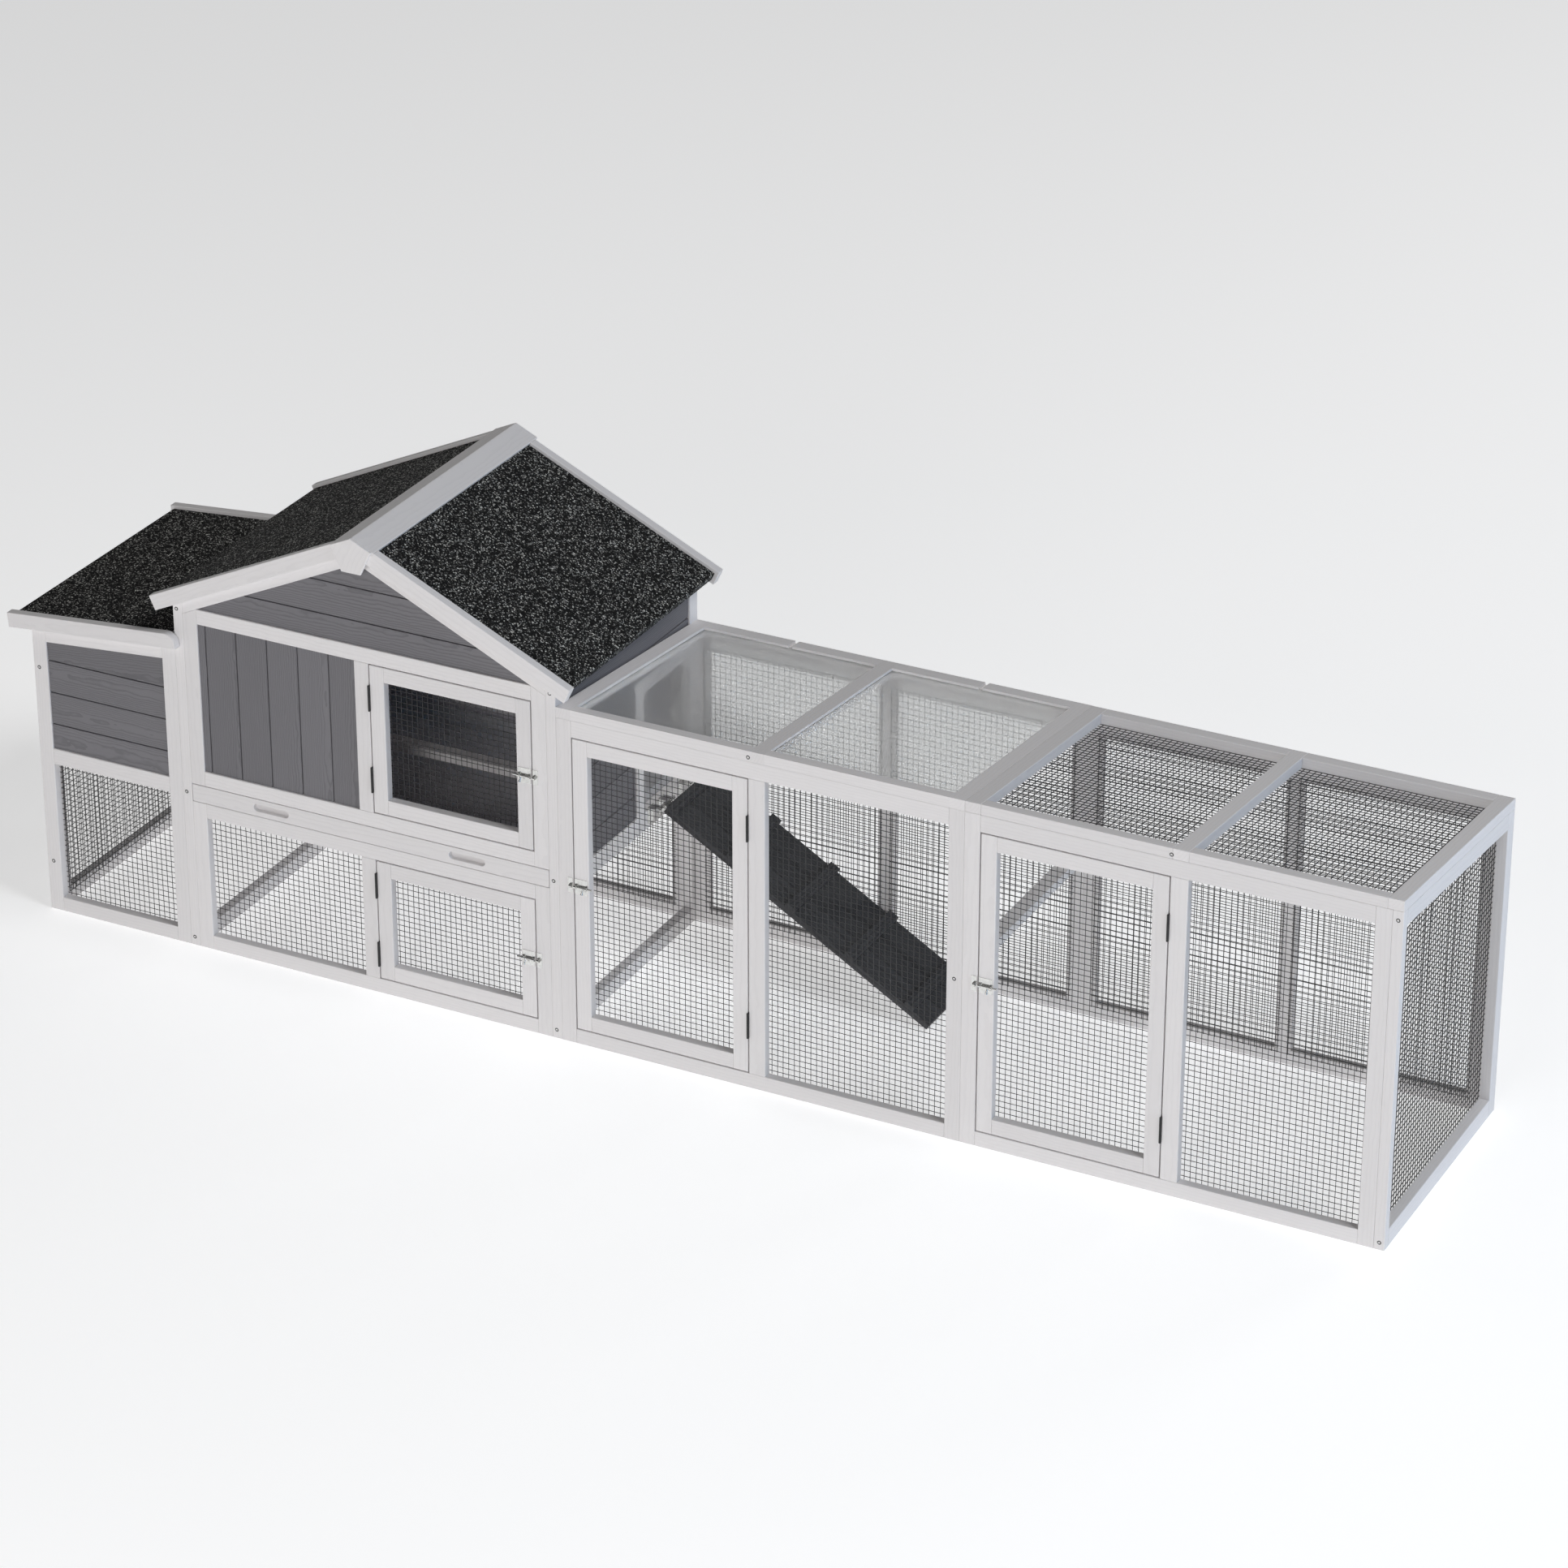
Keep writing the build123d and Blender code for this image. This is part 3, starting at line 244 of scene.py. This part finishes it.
def grain_figure():
    """Figure of sawn softwood. Growth rings are circles round a heart line that wanders
    slowly beside the piece, so a flat face cuts them in long pointed loops, and a quicker
    noise ripples them. Fibres are noise drawn out along the piece."""
    group = bpy.data.node_groups.new("grain_figure", "ShaderNodeTree")
    group.interface.new_socket("Along", in_out="INPUT", socket_type="NodeSocketVector")
    group.interface.new_socket("Rings", in_out="INPUT", socket_type="NodeSocketFloat")
    group.interface.new_socket("Late Wood", in_out="OUTPUT", socket_type="NodeSocketFloat")
    group.interface.new_socket("Fibre", in_out="OUTPUT", socket_type="NodeSocketFloat")
    group.interface.new_socket("Height", in_out="OUTPUT", socket_type="NodeSocketFloat")
    tree = group.nodes
    join = group.links.new
    given = tree.new("NodeGroupInput")
    made = tree.new("NodeGroupOutput")
    slow = tree.new("ShaderNodeVectorMath")
    slow.operation = "MULTIPLY"
    slow.inputs[1].default_value = (0.8, 5.0, 5.0)
    join(given.outputs["Along"], slow.inputs[0])
    wander = tree.new("ShaderNodeTexNoise")
    wander.inputs["Scale"].default_value = 1.0
    wander.inputs["Detail"].default_value = 4.0
    join(slow.outputs[0], wander.inputs["Vector"])
    shift = tree.new("ShaderNodeVectorMath")
    shift.operation = "MULTIPLY_ADD"
    shift.inputs[1].default_value = (0.0, 0.040, 0.034)
    join(wander.outputs["Color"], shift.inputs[0])
    join(given.outputs["Along"], shift.inputs[2])
    close = tree.new("ShaderNodeVectorMath")
    close.operation = "MULTIPLY"
    close.inputs[1].default_value = (22.0, 50.0, 50.0)
    join(given.outputs["Along"], close.inputs[0])
    ripple = tree.new("ShaderNodeTexNoise")
    ripple.inputs["Scale"].default_value = 1.0
    join(close.outputs[0], ripple.inputs["Vector"])
    rippled = tree.new("ShaderNodeVectorMath")
    rippled.operation = "MULTIPLY_ADD"
    rippled.inputs[1].default_value = (0.0, 0.008, 0.008)
    join(ripple.outputs["Color"], rippled.inputs[0])
    join(shift.outputs[0], rippled.inputs[2])
    flat = tree.new("ShaderNodeVectorMath")
    flat.operation = "MULTIPLY"
    flat.inputs[1].default_value = (0.0, 1.0, 1.0)
    join(rippled.outputs[0], flat.inputs[0])
    heart = tree.new("ShaderNodeVectorMath")
    heart.operation = "LENGTH"
    join(flat.outputs[0], heart.inputs[0])
    count = tree.new("ShaderNodeMath")
    count.operation = "MULTIPLY"
    join(heart.outputs["Value"], count.inputs[0])
    join(given.outputs["Rings"], count.inputs[1])
    part = tree.new("ShaderNodeMath")
    part.operation = "FRACT"
    join(count.outputs[0], part.inputs[0])
    late = tree.new("ShaderNodeMapRange")
    late.interpolation_type = "SMOOTHERSTEP"
    late.inputs["From Min"].default_value = 0.45
    late.inputs["From Max"].default_value = 0.96
    join(part.outputs[0], late.inputs["Value"])
    fine = tree.new("ShaderNodeVectorMath")
    fine.operation = "MULTIPLY"
    fine.inputs[1].default_value = (5.0, 620.0, 620.0)
    join(given.outputs["Along"], fine.inputs[0])
    fibre = tree.new("ShaderNodeTexNoise")
    fibre.inputs["Scale"].default_value = 1.0
    fibre.inputs["Detail"].default_value = 3.0
    join(fine.outputs[0], fibre.inputs["Vector"])
    height = tree.new("ShaderNodeMath")
    height.operation = "MULTIPLY_ADD"
    height.inputs[1].default_value = 0.5
    join(fibre.outputs["Fac"], height.inputs[0])
    join(late.outputs["Result"], height.inputs[2])
    join(late.outputs["Result"], made.inputs["Late Wood"])
    join(fibre.outputs["Fac"], made.inputs["Fibre"])
    join(height.outputs[0], made.inputs["Height"])
    return group


softwood = grain_figure()


def stained_wood(name, pale, dark, rings, contrast, tone_depth, roughness, relief):
    """Painted or stained timber. Colour runs from pale to dark by late wood and fibre, and
    each piece is lighter or darker by its own tone."""
    material = bpy.data.materials.new(name)
    material.use_nodes = True
    tree = material.node_tree.nodes
    join = material.node_tree.links.new
    shader = tree["Principled BSDF"]
    place = tree.new("ShaderNodeAttribute")
    place.attribute_name = "grain"
    tone = tree.new("ShaderNodeAttribute")
    tone.attribute_name = "tone"
    figure = tree.new("ShaderNodeGroup")
    figure.node_tree = softwood
    figure.inputs["Rings"].default_value = rings
    join(place.outputs["Vector"], figure.inputs["Along"])
    fibre = tree.new("ShaderNodeMath")
    fibre.operation = "MULTIPLY_ADD"
    fibre.inputs[1].default_value = 0.55
    join(figure.outputs["Fibre"], fibre.inputs[0])
    join(figure.outputs["Late Wood"], fibre.inputs[2])
    depth = tree.new("ShaderNodeMath")
    depth.operation = "MULTIPLY"
    depth.inputs[1].default_value = contrast
    join(fibre.outputs[0], depth.inputs[0])
    colour = tree.new("ShaderNodeMix")
    colour.data_type = "RGBA"
    colour.inputs["A"].default_value = pale
    colour.inputs["B"].default_value = dark
    join(depth.outputs[0], colour.inputs["Factor"])
    bright = tree.new("ShaderNodeMapRange")
    bright.inputs["To Min"].default_value = 1.0 - tone_depth
    bright.inputs["To Max"].default_value = 1.0 + tone_depth
    join(tone.outputs["Fac"], bright.inputs["Value"])
    toned = tree.new("ShaderNodeHueSaturation")
    join(bright.outputs["Result"], toned.inputs["Value"])
    join(colour.outputs["Result"], toned.inputs["Color"])
    join(toned.outputs["Color"], shader.inputs["Base Color"])
    sheen = tree.new("ShaderNodeMapRange")
    sheen.inputs["To Min"].default_value = roughness - 0.07
    sheen.inputs["To Max"].default_value = roughness + 0.09
    join(figure.outputs["Fibre"], sheen.inputs["Value"])
    join(sheen.outputs["Result"], shader.inputs["Roughness"])
    bump = tree.new("ShaderNodeBump")
    bump.inputs["Strength"].default_value = 0.6
    bump.inputs["Distance"].default_value = relief
    join(figure.outputs["Height"], bump.inputs["Height"])
    join(bump.outputs["Normal"], shader.inputs["Normal"])
    return material


white_paint = stained_wood(
    "white_paint",
    pale=white_pale,
    dark=white_shade,
    rings=150.0,
    contrast=0.22,
    tone_depth=0.035,
    roughness=0.5,
    relief=0.0002,
)


def white_sticks(node):
    """The white painted sticks of one node."""
    piece = whole_copy(f"{node}_painted", closed_pieces(node), edge_ease)
    fit_over(piece, node, white_paint)


for node in (
    "hutch_front_frame",
    "hutch_left_wall_frame",
    "hutch_right_wall_frame",
    "hutch_back_frame",
):
    white_sticks(node)


# Boards of the hutch and the nest box. Softwood boards, stained slate grey outside, with
# the darker growth rings showing as long loops. On the hutch's inner sides they are pale,
# and painted paler still in a mauve grey that stands for the light inside the hutch. They
# stand in the frames with a narrow seam between two boards.
board_ease = 0.0012
hutch_middle = (-0.709, -0.009)
wall_cosine = 0.9
grey_stain = stained_wood(
    "grey_paint",
    pale=(0.190, 0.185, 0.198, 1.0),
    dark=(0.105, 0.102, 0.111, 1.0),
    rings=240.0,
    contrast=0.46,
    tone_depth=0.07,
    roughness=0.60,
    relief=0.0004,
)
# Pale mauve grey for the faces inside the hutch: pale boards, painted paler to stand for the
# light seen inside the hutch.
inner_pale_and_lit = stained_wood(
    "inner_pale_and_lit",
    pale=(0.68, 0.65, 0.70, 1.0),
    dark=(0.54, 0.51, 0.56, 1.0),
    rings=230.0,
    contrast=0.5,
    tone_depth=0.05,
    roughness=0.7,
    relief=0.0003,
)


def grey_boards(node, inward=None):
    """The grey stained boards of one node. Where inward is 0 for x or 1 for y, the faces
    that look along that axis to the middle of the hutch are pale mauve grey: pale inner
    boards, painted paler still to stand for the light inside the hutch."""
    piece = whole_copy(f"{node}_stained", closed_pieces(node), board_ease)
    fit_over(piece, node, grey_stain)
    if inward is None:
        return
    piece.data.materials.append(inner_pale_and_lit)
    # Faces that look into the hutch take the pale material, which is partly painted light.
    for face in piece.data.polygons:
        to_middle = math.copysign(1.0, hutch_middle[inward] - face.center[inward])
        if face.normal[inward] * to_middle > wall_cosine:
            face.material_index = 1


grey_boards("hutch_side_boards", 0)
for node in ("hutch_front_boards", "hutch_gable_boards", "hutch_back_boards"):
    grey_boards(node, 1)


# Wire net. Half-inch welded net of thin black coated wire, cut from a roll and stapled to
# the back of the sticks. The wires of one direction lie on one side of the others, and
# each wire wavers a little, as net from a roll does: at most waver_reach to the side, a
# waver_out share of that out of the net, and waver_turn radians on for each metre.
net_pitch = 0.0127
wire_radius = 0.00075
wire_layer = 0.45
wire_sides = 4
wire_runs = 8
waver_reach = 0.0005
waver_turn = 13.0
waver_out = 0.1
net_waver = np.random.default_rng(7)


def wire_tubes(starts, along, aside, out, length, radius):
    """Straight tubes from many start places. A tube's point is its start, plus its run
    along, plus a slow seeded waver aside, plus its radius turned round the run."""
    run = np.linspace(0.0, length, wire_runs + 1)
    turn = (np.arange(wire_sides) + 0.5) * 2.0 * math.pi / wire_sides
    count = len(starts)
    phase = net_waver.uniform(0.0, 2.0 * math.pi, (count, 2, 1))
    bend = net_waver.uniform(0.3, 1.0, (count, 2, 1)) * waver_reach
    sway = bend * np.sin(phase + run * waver_turn)
    line = starts[:, None] + run[:, None] * along
    line = line + sway[:, 0, :, None] * aside + waver_out * sway[:, 1, :, None] * out
    ring = radius * (np.cos(turn)[:, None] * aside + np.sin(turn)[:, None] * out)
    points = (line[:, :, None] + ring).reshape(-1, 3)
    wire, step, side = np.meshgrid(
        np.arange(count), np.arange(wire_runs), np.arange(wire_sides), indexing="ij"
    )
    here = (wire * (wire_runs + 1) + step) * wire_sides
    after = here + wire_sides
    beside = (side + 1) % wire_sides
    walls = np.stack([here + side, here + beside, after + beside, after + side], -1)
    foot = np.arange(count)[:, None] * (wire_runs + 1) * wire_sides + np.arange(wire_sides)[::-1]
    head = foot[:, ::-1] + wire_runs * wire_sides
    return points, np.concatenate([walls.reshape(-1, 4), foot, head])


def net_of(name, sheets, radius):
    """Crossing wires over flat sheets, each given by its corner places and triangles. A
    wire starts at the sheet's middle, plus its step aside, less half the run, plus its
    layer's share of the radius out of the sheet."""
    all_points = []
    all_faces = []
    shift = 0
    for places, triangles in sheets:
        along, across, out = own_axes(places, triangles)
        middle = places.mean(0)
        reach = np.abs((places - middle) @ np.array([along, across]).T).max(0)
        for first, second, half, other, layer in (
            (along, across, reach[0], reach[1], wire_layer),
            (across, -along, reach[1], reach[0], -wire_layer),
        ):
            count = int(2.0 * other / net_pitch)
            spare = 2.0 * other - count * net_pitch
            steps = -other + spare / 2.0 + net_pitch * np.arange(count + 1)
            starts = middle + steps[:, None] * second - half * first + layer * radius * out
            side = np.cross(first, second)
            points, faces = wire_tubes(starts, first, second, side, 2.0 * half, radius)
            all_points.append(points)
            all_faces.append(faces + shift)
            shift += len(points)
    mesh = bpy.data.meshes.new(name)
    mesh.from_pydata(np.concatenate(all_points).tolist(), [], np.concatenate(all_faces).tolist())
    net = bpy.data.objects.new(name, mesh)
    bpy.context.scene.collection.objects.link(net)
    return net


def coated_metal(name, colour, worn, metallic, roughness, patch):
    """Metal with a coat or plating. Slow noise clouds the colour towards its worn tone and
    varies the gloss."""
    material = bpy.data.materials.new(name)
    material.use_nodes = True
    tree = material.node_tree.nodes
    join = material.node_tree.links.new
    shader = tree["Principled BSDF"]
    shader.inputs["Metallic"].default_value = metallic
    place = tree.new("ShaderNodeTexCoord")
    cloud = tree.new("ShaderNodeTexNoise")
    cloud.inputs["Scale"].default_value = patch
    cloud.inputs["Detail"].default_value = 4.0
    join(place.outputs["Object"], cloud.inputs["Vector"])
    tint = tree.new("ShaderNodeMix")
    tint.data_type = "RGBA"
    tint.inputs["A"].default_value = colour
    tint.inputs["B"].default_value = worn
    join(cloud.outputs["Fac"], tint.inputs["Factor"])
    join(tint.outputs["Result"], shader.inputs["Base Color"])
    gloss = tree.new("ShaderNodeMapRange")
    gloss.inputs["To Min"].default_value = roughness - 0.1
    gloss.inputs["To Max"].default_value = roughness + 0.1
    join(cloud.outputs["Fac"], gloss.inputs["Value"])
    join(gloss.outputs["Result"], shader.inputs["Roughness"])
    return material


black_wire = coated_metal(
    "black_wire",
    colour=(0.020, 0.020, 0.022, 1.0),
    worn=(0.045, 0.044, 0.044, 1.0),
    metallic=0.0,
    roughness=0.45,
    patch=60.0,
)


def fine_net(node, radius=wire_radius):
    """The fine net that stands for a coarse one."""
    net = net_of(f"{node}_fine", closed_pieces(node), radius)
    fit_over(net, node, black_wire)


fine_net("hutch_mesh")


# Bearers, perch and cross bar. Plain white sticks laid from wall to wall inside the hutch
# and from front to back of the run.
for node in ("tray_bearers", "perch_bars"):
    white_sticks(node)


# Main roof. Boards under black mineral felt, with white barge boards and an apex plate at
# each gable and two ridge boards along the top. The felt is bitumen with crushed slate.
def mineral_felt():
    """Bitumen felt. Small cells of random brightness are the slate grains, of which few
    are pale, and their relief breaks the gloss."""
    material = bpy.data.materials.new("mineral_felt")
    material.use_nodes = True
    tree = material.node_tree.nodes
    join = material.node_tree.links.new
    shader = tree["Principled BSDF"]
    shader.inputs["Specular IOR Level"].default_value = 0.14
    place = tree.new("ShaderNodeTexCoord")
    grit = tree.new("ShaderNodeTexVoronoi")
    grit.inputs["Scale"].default_value = 400.0
    join(place.outputs["Object"], grit.inputs["Vector"])
    dice = tree.new("ShaderNodeSeparateColor")
    join(grit.outputs["Color"], dice.inputs["Color"])
    speck = tree.new("ShaderNodeMath")
    speck.operation = "POWER"
    speck.inputs[1].default_value = 11.0
    join(dice.outputs["Red"], speck.inputs[0])
    colour = tree.new("ShaderNodeMix")
    colour.data_type = "RGBA"
    colour.inputs["A"].default_value = (0.0065, 0.0065, 0.0068, 1.0)
    colour.inputs["B"].default_value = (0.80, 0.80, 0.76, 1.0)
    join(speck.outputs[0], colour.inputs["Factor"])
    join(colour.outputs["Result"], shader.inputs["Base Color"])
    rough = tree.new("ShaderNodeMapRange")
    rough.inputs["To Min"].default_value = 0.62
    rough.inputs["To Max"].default_value = 0.95
    join(dice.outputs["Green"], rough.inputs["Value"])
    join(rough.outputs["Result"], shader.inputs["Roughness"])
    bump = tree.new("ShaderNodeBump")
    bump.inputs["Strength"].default_value = 0.8
    bump.inputs["Distance"].default_value = 0.0008
    join(grit.outputs["Distance"], bump.inputs["Height"])
    join(bump.outputs["Normal"], shader.inputs["Normal"])
    return material


felt = mineral_felt()


def felt_cover(node):
    """The felt of one roof."""
    piece = whole_copy(f"{node}_mineral", closed_pieces(node), edge_ease)
    fit_over(piece, node, felt)


for node in ("roof_boards", "barge_boards", "ridge_boards"):
    white_sticks(node)
felt_cover("roof_felt")


# Nest box and its lid. A smaller frame with boards above and net below, a floor with a
# divider, and a felted lid between two white trims.
for node in ("nest_frame", "nest_floor", "lid_board", "lid_trims"):
    white_sticks(node)
grey_boards("nest_boards")
fine_net("nest_mesh")
felt_cover("lid_felt")


# Run. White frames with net on their inner sides, of a slightly stouter wire at the end
# and over the second half. The first roof holds two panes of frosted plastic with fine
# ribs.
stout_radius = 0.00095
for node in (
    "run_1_front_frame",
    "run_2_front_frame",
    "run_1_back_frame",
    "run_2_back_frame",
    "run_end_frame",
    "run_1_roof_frame",
    "run_2_roof_frame",
):
    white_sticks(node)
for node in ("run_front_mesh", "run_back_mesh"):
    fine_net(node)
for node in ("run_end_mesh", "run_2_roof_mesh"):
    fine_net(node, stout_radius)


def ribbed_plastic():
    """Frosted clear plastic. Fine ribs run along the coop, each with a milky crest, and
    slow noise makes the sheet clearer and cloudier."""
    material = bpy.data.materials.new("ribbed_plastic")
    material.use_nodes = True
    tree = material.node_tree.nodes
    join = material.node_tree.links.new
    shader = tree["Principled BSDF"]
    shader.inputs["Base Color"].default_value = (0.975, 1.0, 0.985, 1.0)
    shader.inputs["Transmission Weight"].default_value = 0.92
    shader.inputs["IOR"].default_value = 1.18
    place = tree.new("ShaderNodeTexCoord")
    cloud = tree.new("ShaderNodeTexNoise")
    cloud.inputs["Scale"].default_value = 9.0
    cloud.inputs["Detail"].default_value = 3.0
    join(place.outputs["Object"], cloud.inputs["Vector"])
    haze = tree.new("ShaderNodeMapRange")
    haze.inputs["To Min"].default_value = 0.31
    haze.inputs["To Max"].default_value = 0.46
    join(cloud.outputs["Fac"], haze.inputs["Value"])
    join(haze.outputs["Result"], shader.inputs["Roughness"])
    ribs = tree.new("ShaderNodeTexWave")
    ribs.bands_direction = "Y"
    ribs.inputs["Scale"].default_value = 90.0
    ribs.inputs["Distortion"].default_value = 0.3
    join(place.outputs["Object"], ribs.inputs["Vector"])
    milk = tree.new("ShaderNodeMapRange")
    milk.inputs["To Min"].default_value = 0.30
    milk.inputs["To Max"].default_value = 0.54
    join(ribs.outputs["Fac"], milk.inputs["Value"])
    join(milk.outputs["Result"], shader.inputs["Alpha"])
    bump = tree.new("ShaderNodeBump")
    bump.inputs["Strength"].default_value = 0.5
    bump.inputs["Distance"].default_value = 0.00012
    join(ribs.outputs["Fac"], bump.inputs["Height"])
    join(bump.outputs["Normal"], shader.inputs["Normal"])
    return material


panes = whole_copy("run_1_roof_panes_ribbed", closed_pieces("run_1_roof_panes"), 0.0)
fit_over(panes, "run_1_roof_panes", ribbed_plastic())


# Doors. Four sticks and net each, on two black butt hinges, with a zinc plated slide bolt.
# The bolt has a bent handle and slides in two guides towards its keeper. A door's fittings
# are its hinge leaves, leaf_count of them, and then its latch.
fitting_ease = 0.00025
leaf_count = 2
black_steel = coated_metal(
    "black_steel",
    colour=(0.010, 0.010, 0.011, 1.0),
    worn=(0.030, 0.030, 0.030, 1.0),
    metallic=0.2,
    roughness=0.48,
    patch=90.0,
)
zinc_steel = coated_metal(
    "zinc_steel",
    colour=(0.88, 0.88, 0.86, 1.0),
    worn=(0.60, 0.60, 0.58, 1.0),
    metallic=1.0,
    roughness=0.24,
    patch=160.0,
)


def fitting(name, pieces, node, material):
    """Pressed and turned metal pieces of a node, with smooth rounds."""
    piece = whole_copy(name, pieces, fitting_ease, smooth=True)
    fit_over(piece, node, material)


for door in ("upper_door", "lower_door", "run_door_1", "run_door_2"):
    white_sticks(f"{door}_frame")
    fine_net(f"{door}_mesh")
    both = f"{door}_fittings"
    bolt = f"{door}_bolt"
    pieces = closed_pieces(both)
    fitting(f"{door}_leaves", pieces[:leaf_count], both, black_steel)
    fitting(f"{door}_latch", pieces[leaf_count:], both, zinc_steel)
    fitting(f"{door}_rod", closed_pieces(bolt), bolt, zinc_steel)
leaves = closed_pieces("door_hinge_fixed")
fitting("door_hinges", leaves, "door_hinge_fixed", black_steel)
for node in ("latch_keepers", "hinge_brackets", "lid_hinge_leaves", "ramp_straps"):
    fitting(f"{node}_plated", closed_pieces(node), node, zinc_steel)


# Tray. A white front board with two routed finger slots, and a shallow pan of pale grey
# coated sheet behind it.
tray_sheet = coated_metal(
    "tray_sheet",
    colour=(0.66, 0.66, 0.68, 1.0),
    worn=(0.56, 0.56, 0.58, 1.0),
    metallic=0.1,
    roughness=0.45,
    patch=14.0,
)
white_sticks("tray_front")
fitting("tray_pan_sheet", closed_pieces("tray_pan"), "tray_pan", tray_sheet)


# Ramp. Three boards side by side under five cleats, all stained charcoal, hung on two
# straps below the doorway.
charcoal = stained_wood(
    "charcoal_stain",
    pale=(0.050, 0.051, 0.056, 1.0),
    dark=(0.022, 0.022, 0.025, 1.0),
    rings=150.0,
    contrast=0.7,
    tone_depth=0.10,
    roughness=0.6,
    relief=0.0006,
)
for node in ("ramp_boards", "ramp_cleats"):
    piece = whole_copy(f"{node}_stained", closed_pieces(node), board_ease)
    fit_over(piece, node, charcoal)


# Screws. Zinc plated countersunk screws hold the frames together. Their heads sit nearly
# flush in the front faces, with a cross recess, and the outer rings of each head are black
# steel, a painted shadow for the gap round the countersunk head.
screw_radius = 0.0044
screw_stand = 0.0007
screw_turns = 24
recess_half = 0.0007
recess_reach = 0.0026
recess_depth = 0.0009
# The rings of a head from this one outwards are black: a painted shadow round the head.
rim_shadow_ring = 3
front_face = -0.3145
screw_places = [
    (-1.15714, 0.020), (-1.15714, 0.370), (-1.15714, 0.797),
    (-0.26514, 0.020), (-0.26514, 0.370), (-0.26514, 0.797),
    (-1.51614, 0.584), (-1.51414, 0.119),
    (0.64486, 0.370), (1.56436, 0.7265), (1.56436, 0.017),
    (0.18586, 0.756), (1.09986, 0.756),
]


def screw_heads(name, centres, out, right):
    """Heads with a cross recess. On a polar grid, a point's height is a shallow dome, less
    the recess where it is near one of two crossing arms."""
    rings = np.array([0.0, 0.2, 0.4, 0.6, 0.8, 0.94, 1.0]) * screw_radius
    turns = np.arange(screw_turns) * 2.0 * math.pi / screw_turns
    radius, turn = np.meshgrid(rings, turns, indexing="ij")
    side = radius * np.cos(turn)
    rise = radius * np.sin(turn)
    height = screw_stand * (1.0 - (radius / screw_radius) ** 4)
    arm = np.minimum(np.abs(side), np.abs(rise)) < recess_half
    height = np.where(arm & (radius < recess_reach), height - recess_depth, height)
    up = np.cross(out, right)
    head = side[..., None] * right + rise[..., None] * up + height[..., None] * out
    head = head.reshape(-1, 3)
    ring, step = np.meshgrid(np.arange(len(rings) - 1), np.arange(screw_turns), indexing="ij")
    here = ring * screw_turns
    outer = here + screw_turns
    after = (step + 1) % screw_turns
    quads = np.stack([here + step, outer + step, outer + after, here + after], -1)
    count = len(centres)
    points = (np.asarray(centres)[:, None] + head).reshape(-1, 3)
    faces = (quads.reshape(1, -1, 4) + np.arange(count)[:, None, None] * len(head)).reshape(-1, 4)
    mesh = bpy.data.meshes.new(name)
    mesh.from_pydata(points.tolist(), [], faces.tolist())
    mesh.materials.append(zinc_steel)
    mesh.materials.append(black_steel)
    # The outer rings take black steel, a painted shadow for the gap round each countersunk head.
    rim_shadow = np.tile(ring.ravel() >= rim_shadow_ring, count).astype(np.int32)
    mesh.polygons.foreach_set("material_index", rim_shadow)
    work = bmesh.new()
    work.from_mesh(mesh)
    bmesh.ops.remove_doubles(work, verts=work.verts, dist=1e-6)
    work.to_mesh(mesh)
    work.free()
    mesh.validate()
    heads = bpy.data.objects.new(name, mesh)
    bpy.context.scene.collection.objects.link(heads)
    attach(heads, "coop")


screw_heads(
    "front_screws",
    [(x, front_face, z) for x, z in screw_places],
    np.array([0.0, -1.0, 0.0]),
    np.array([1.0, 0.0, 0.0]),
)
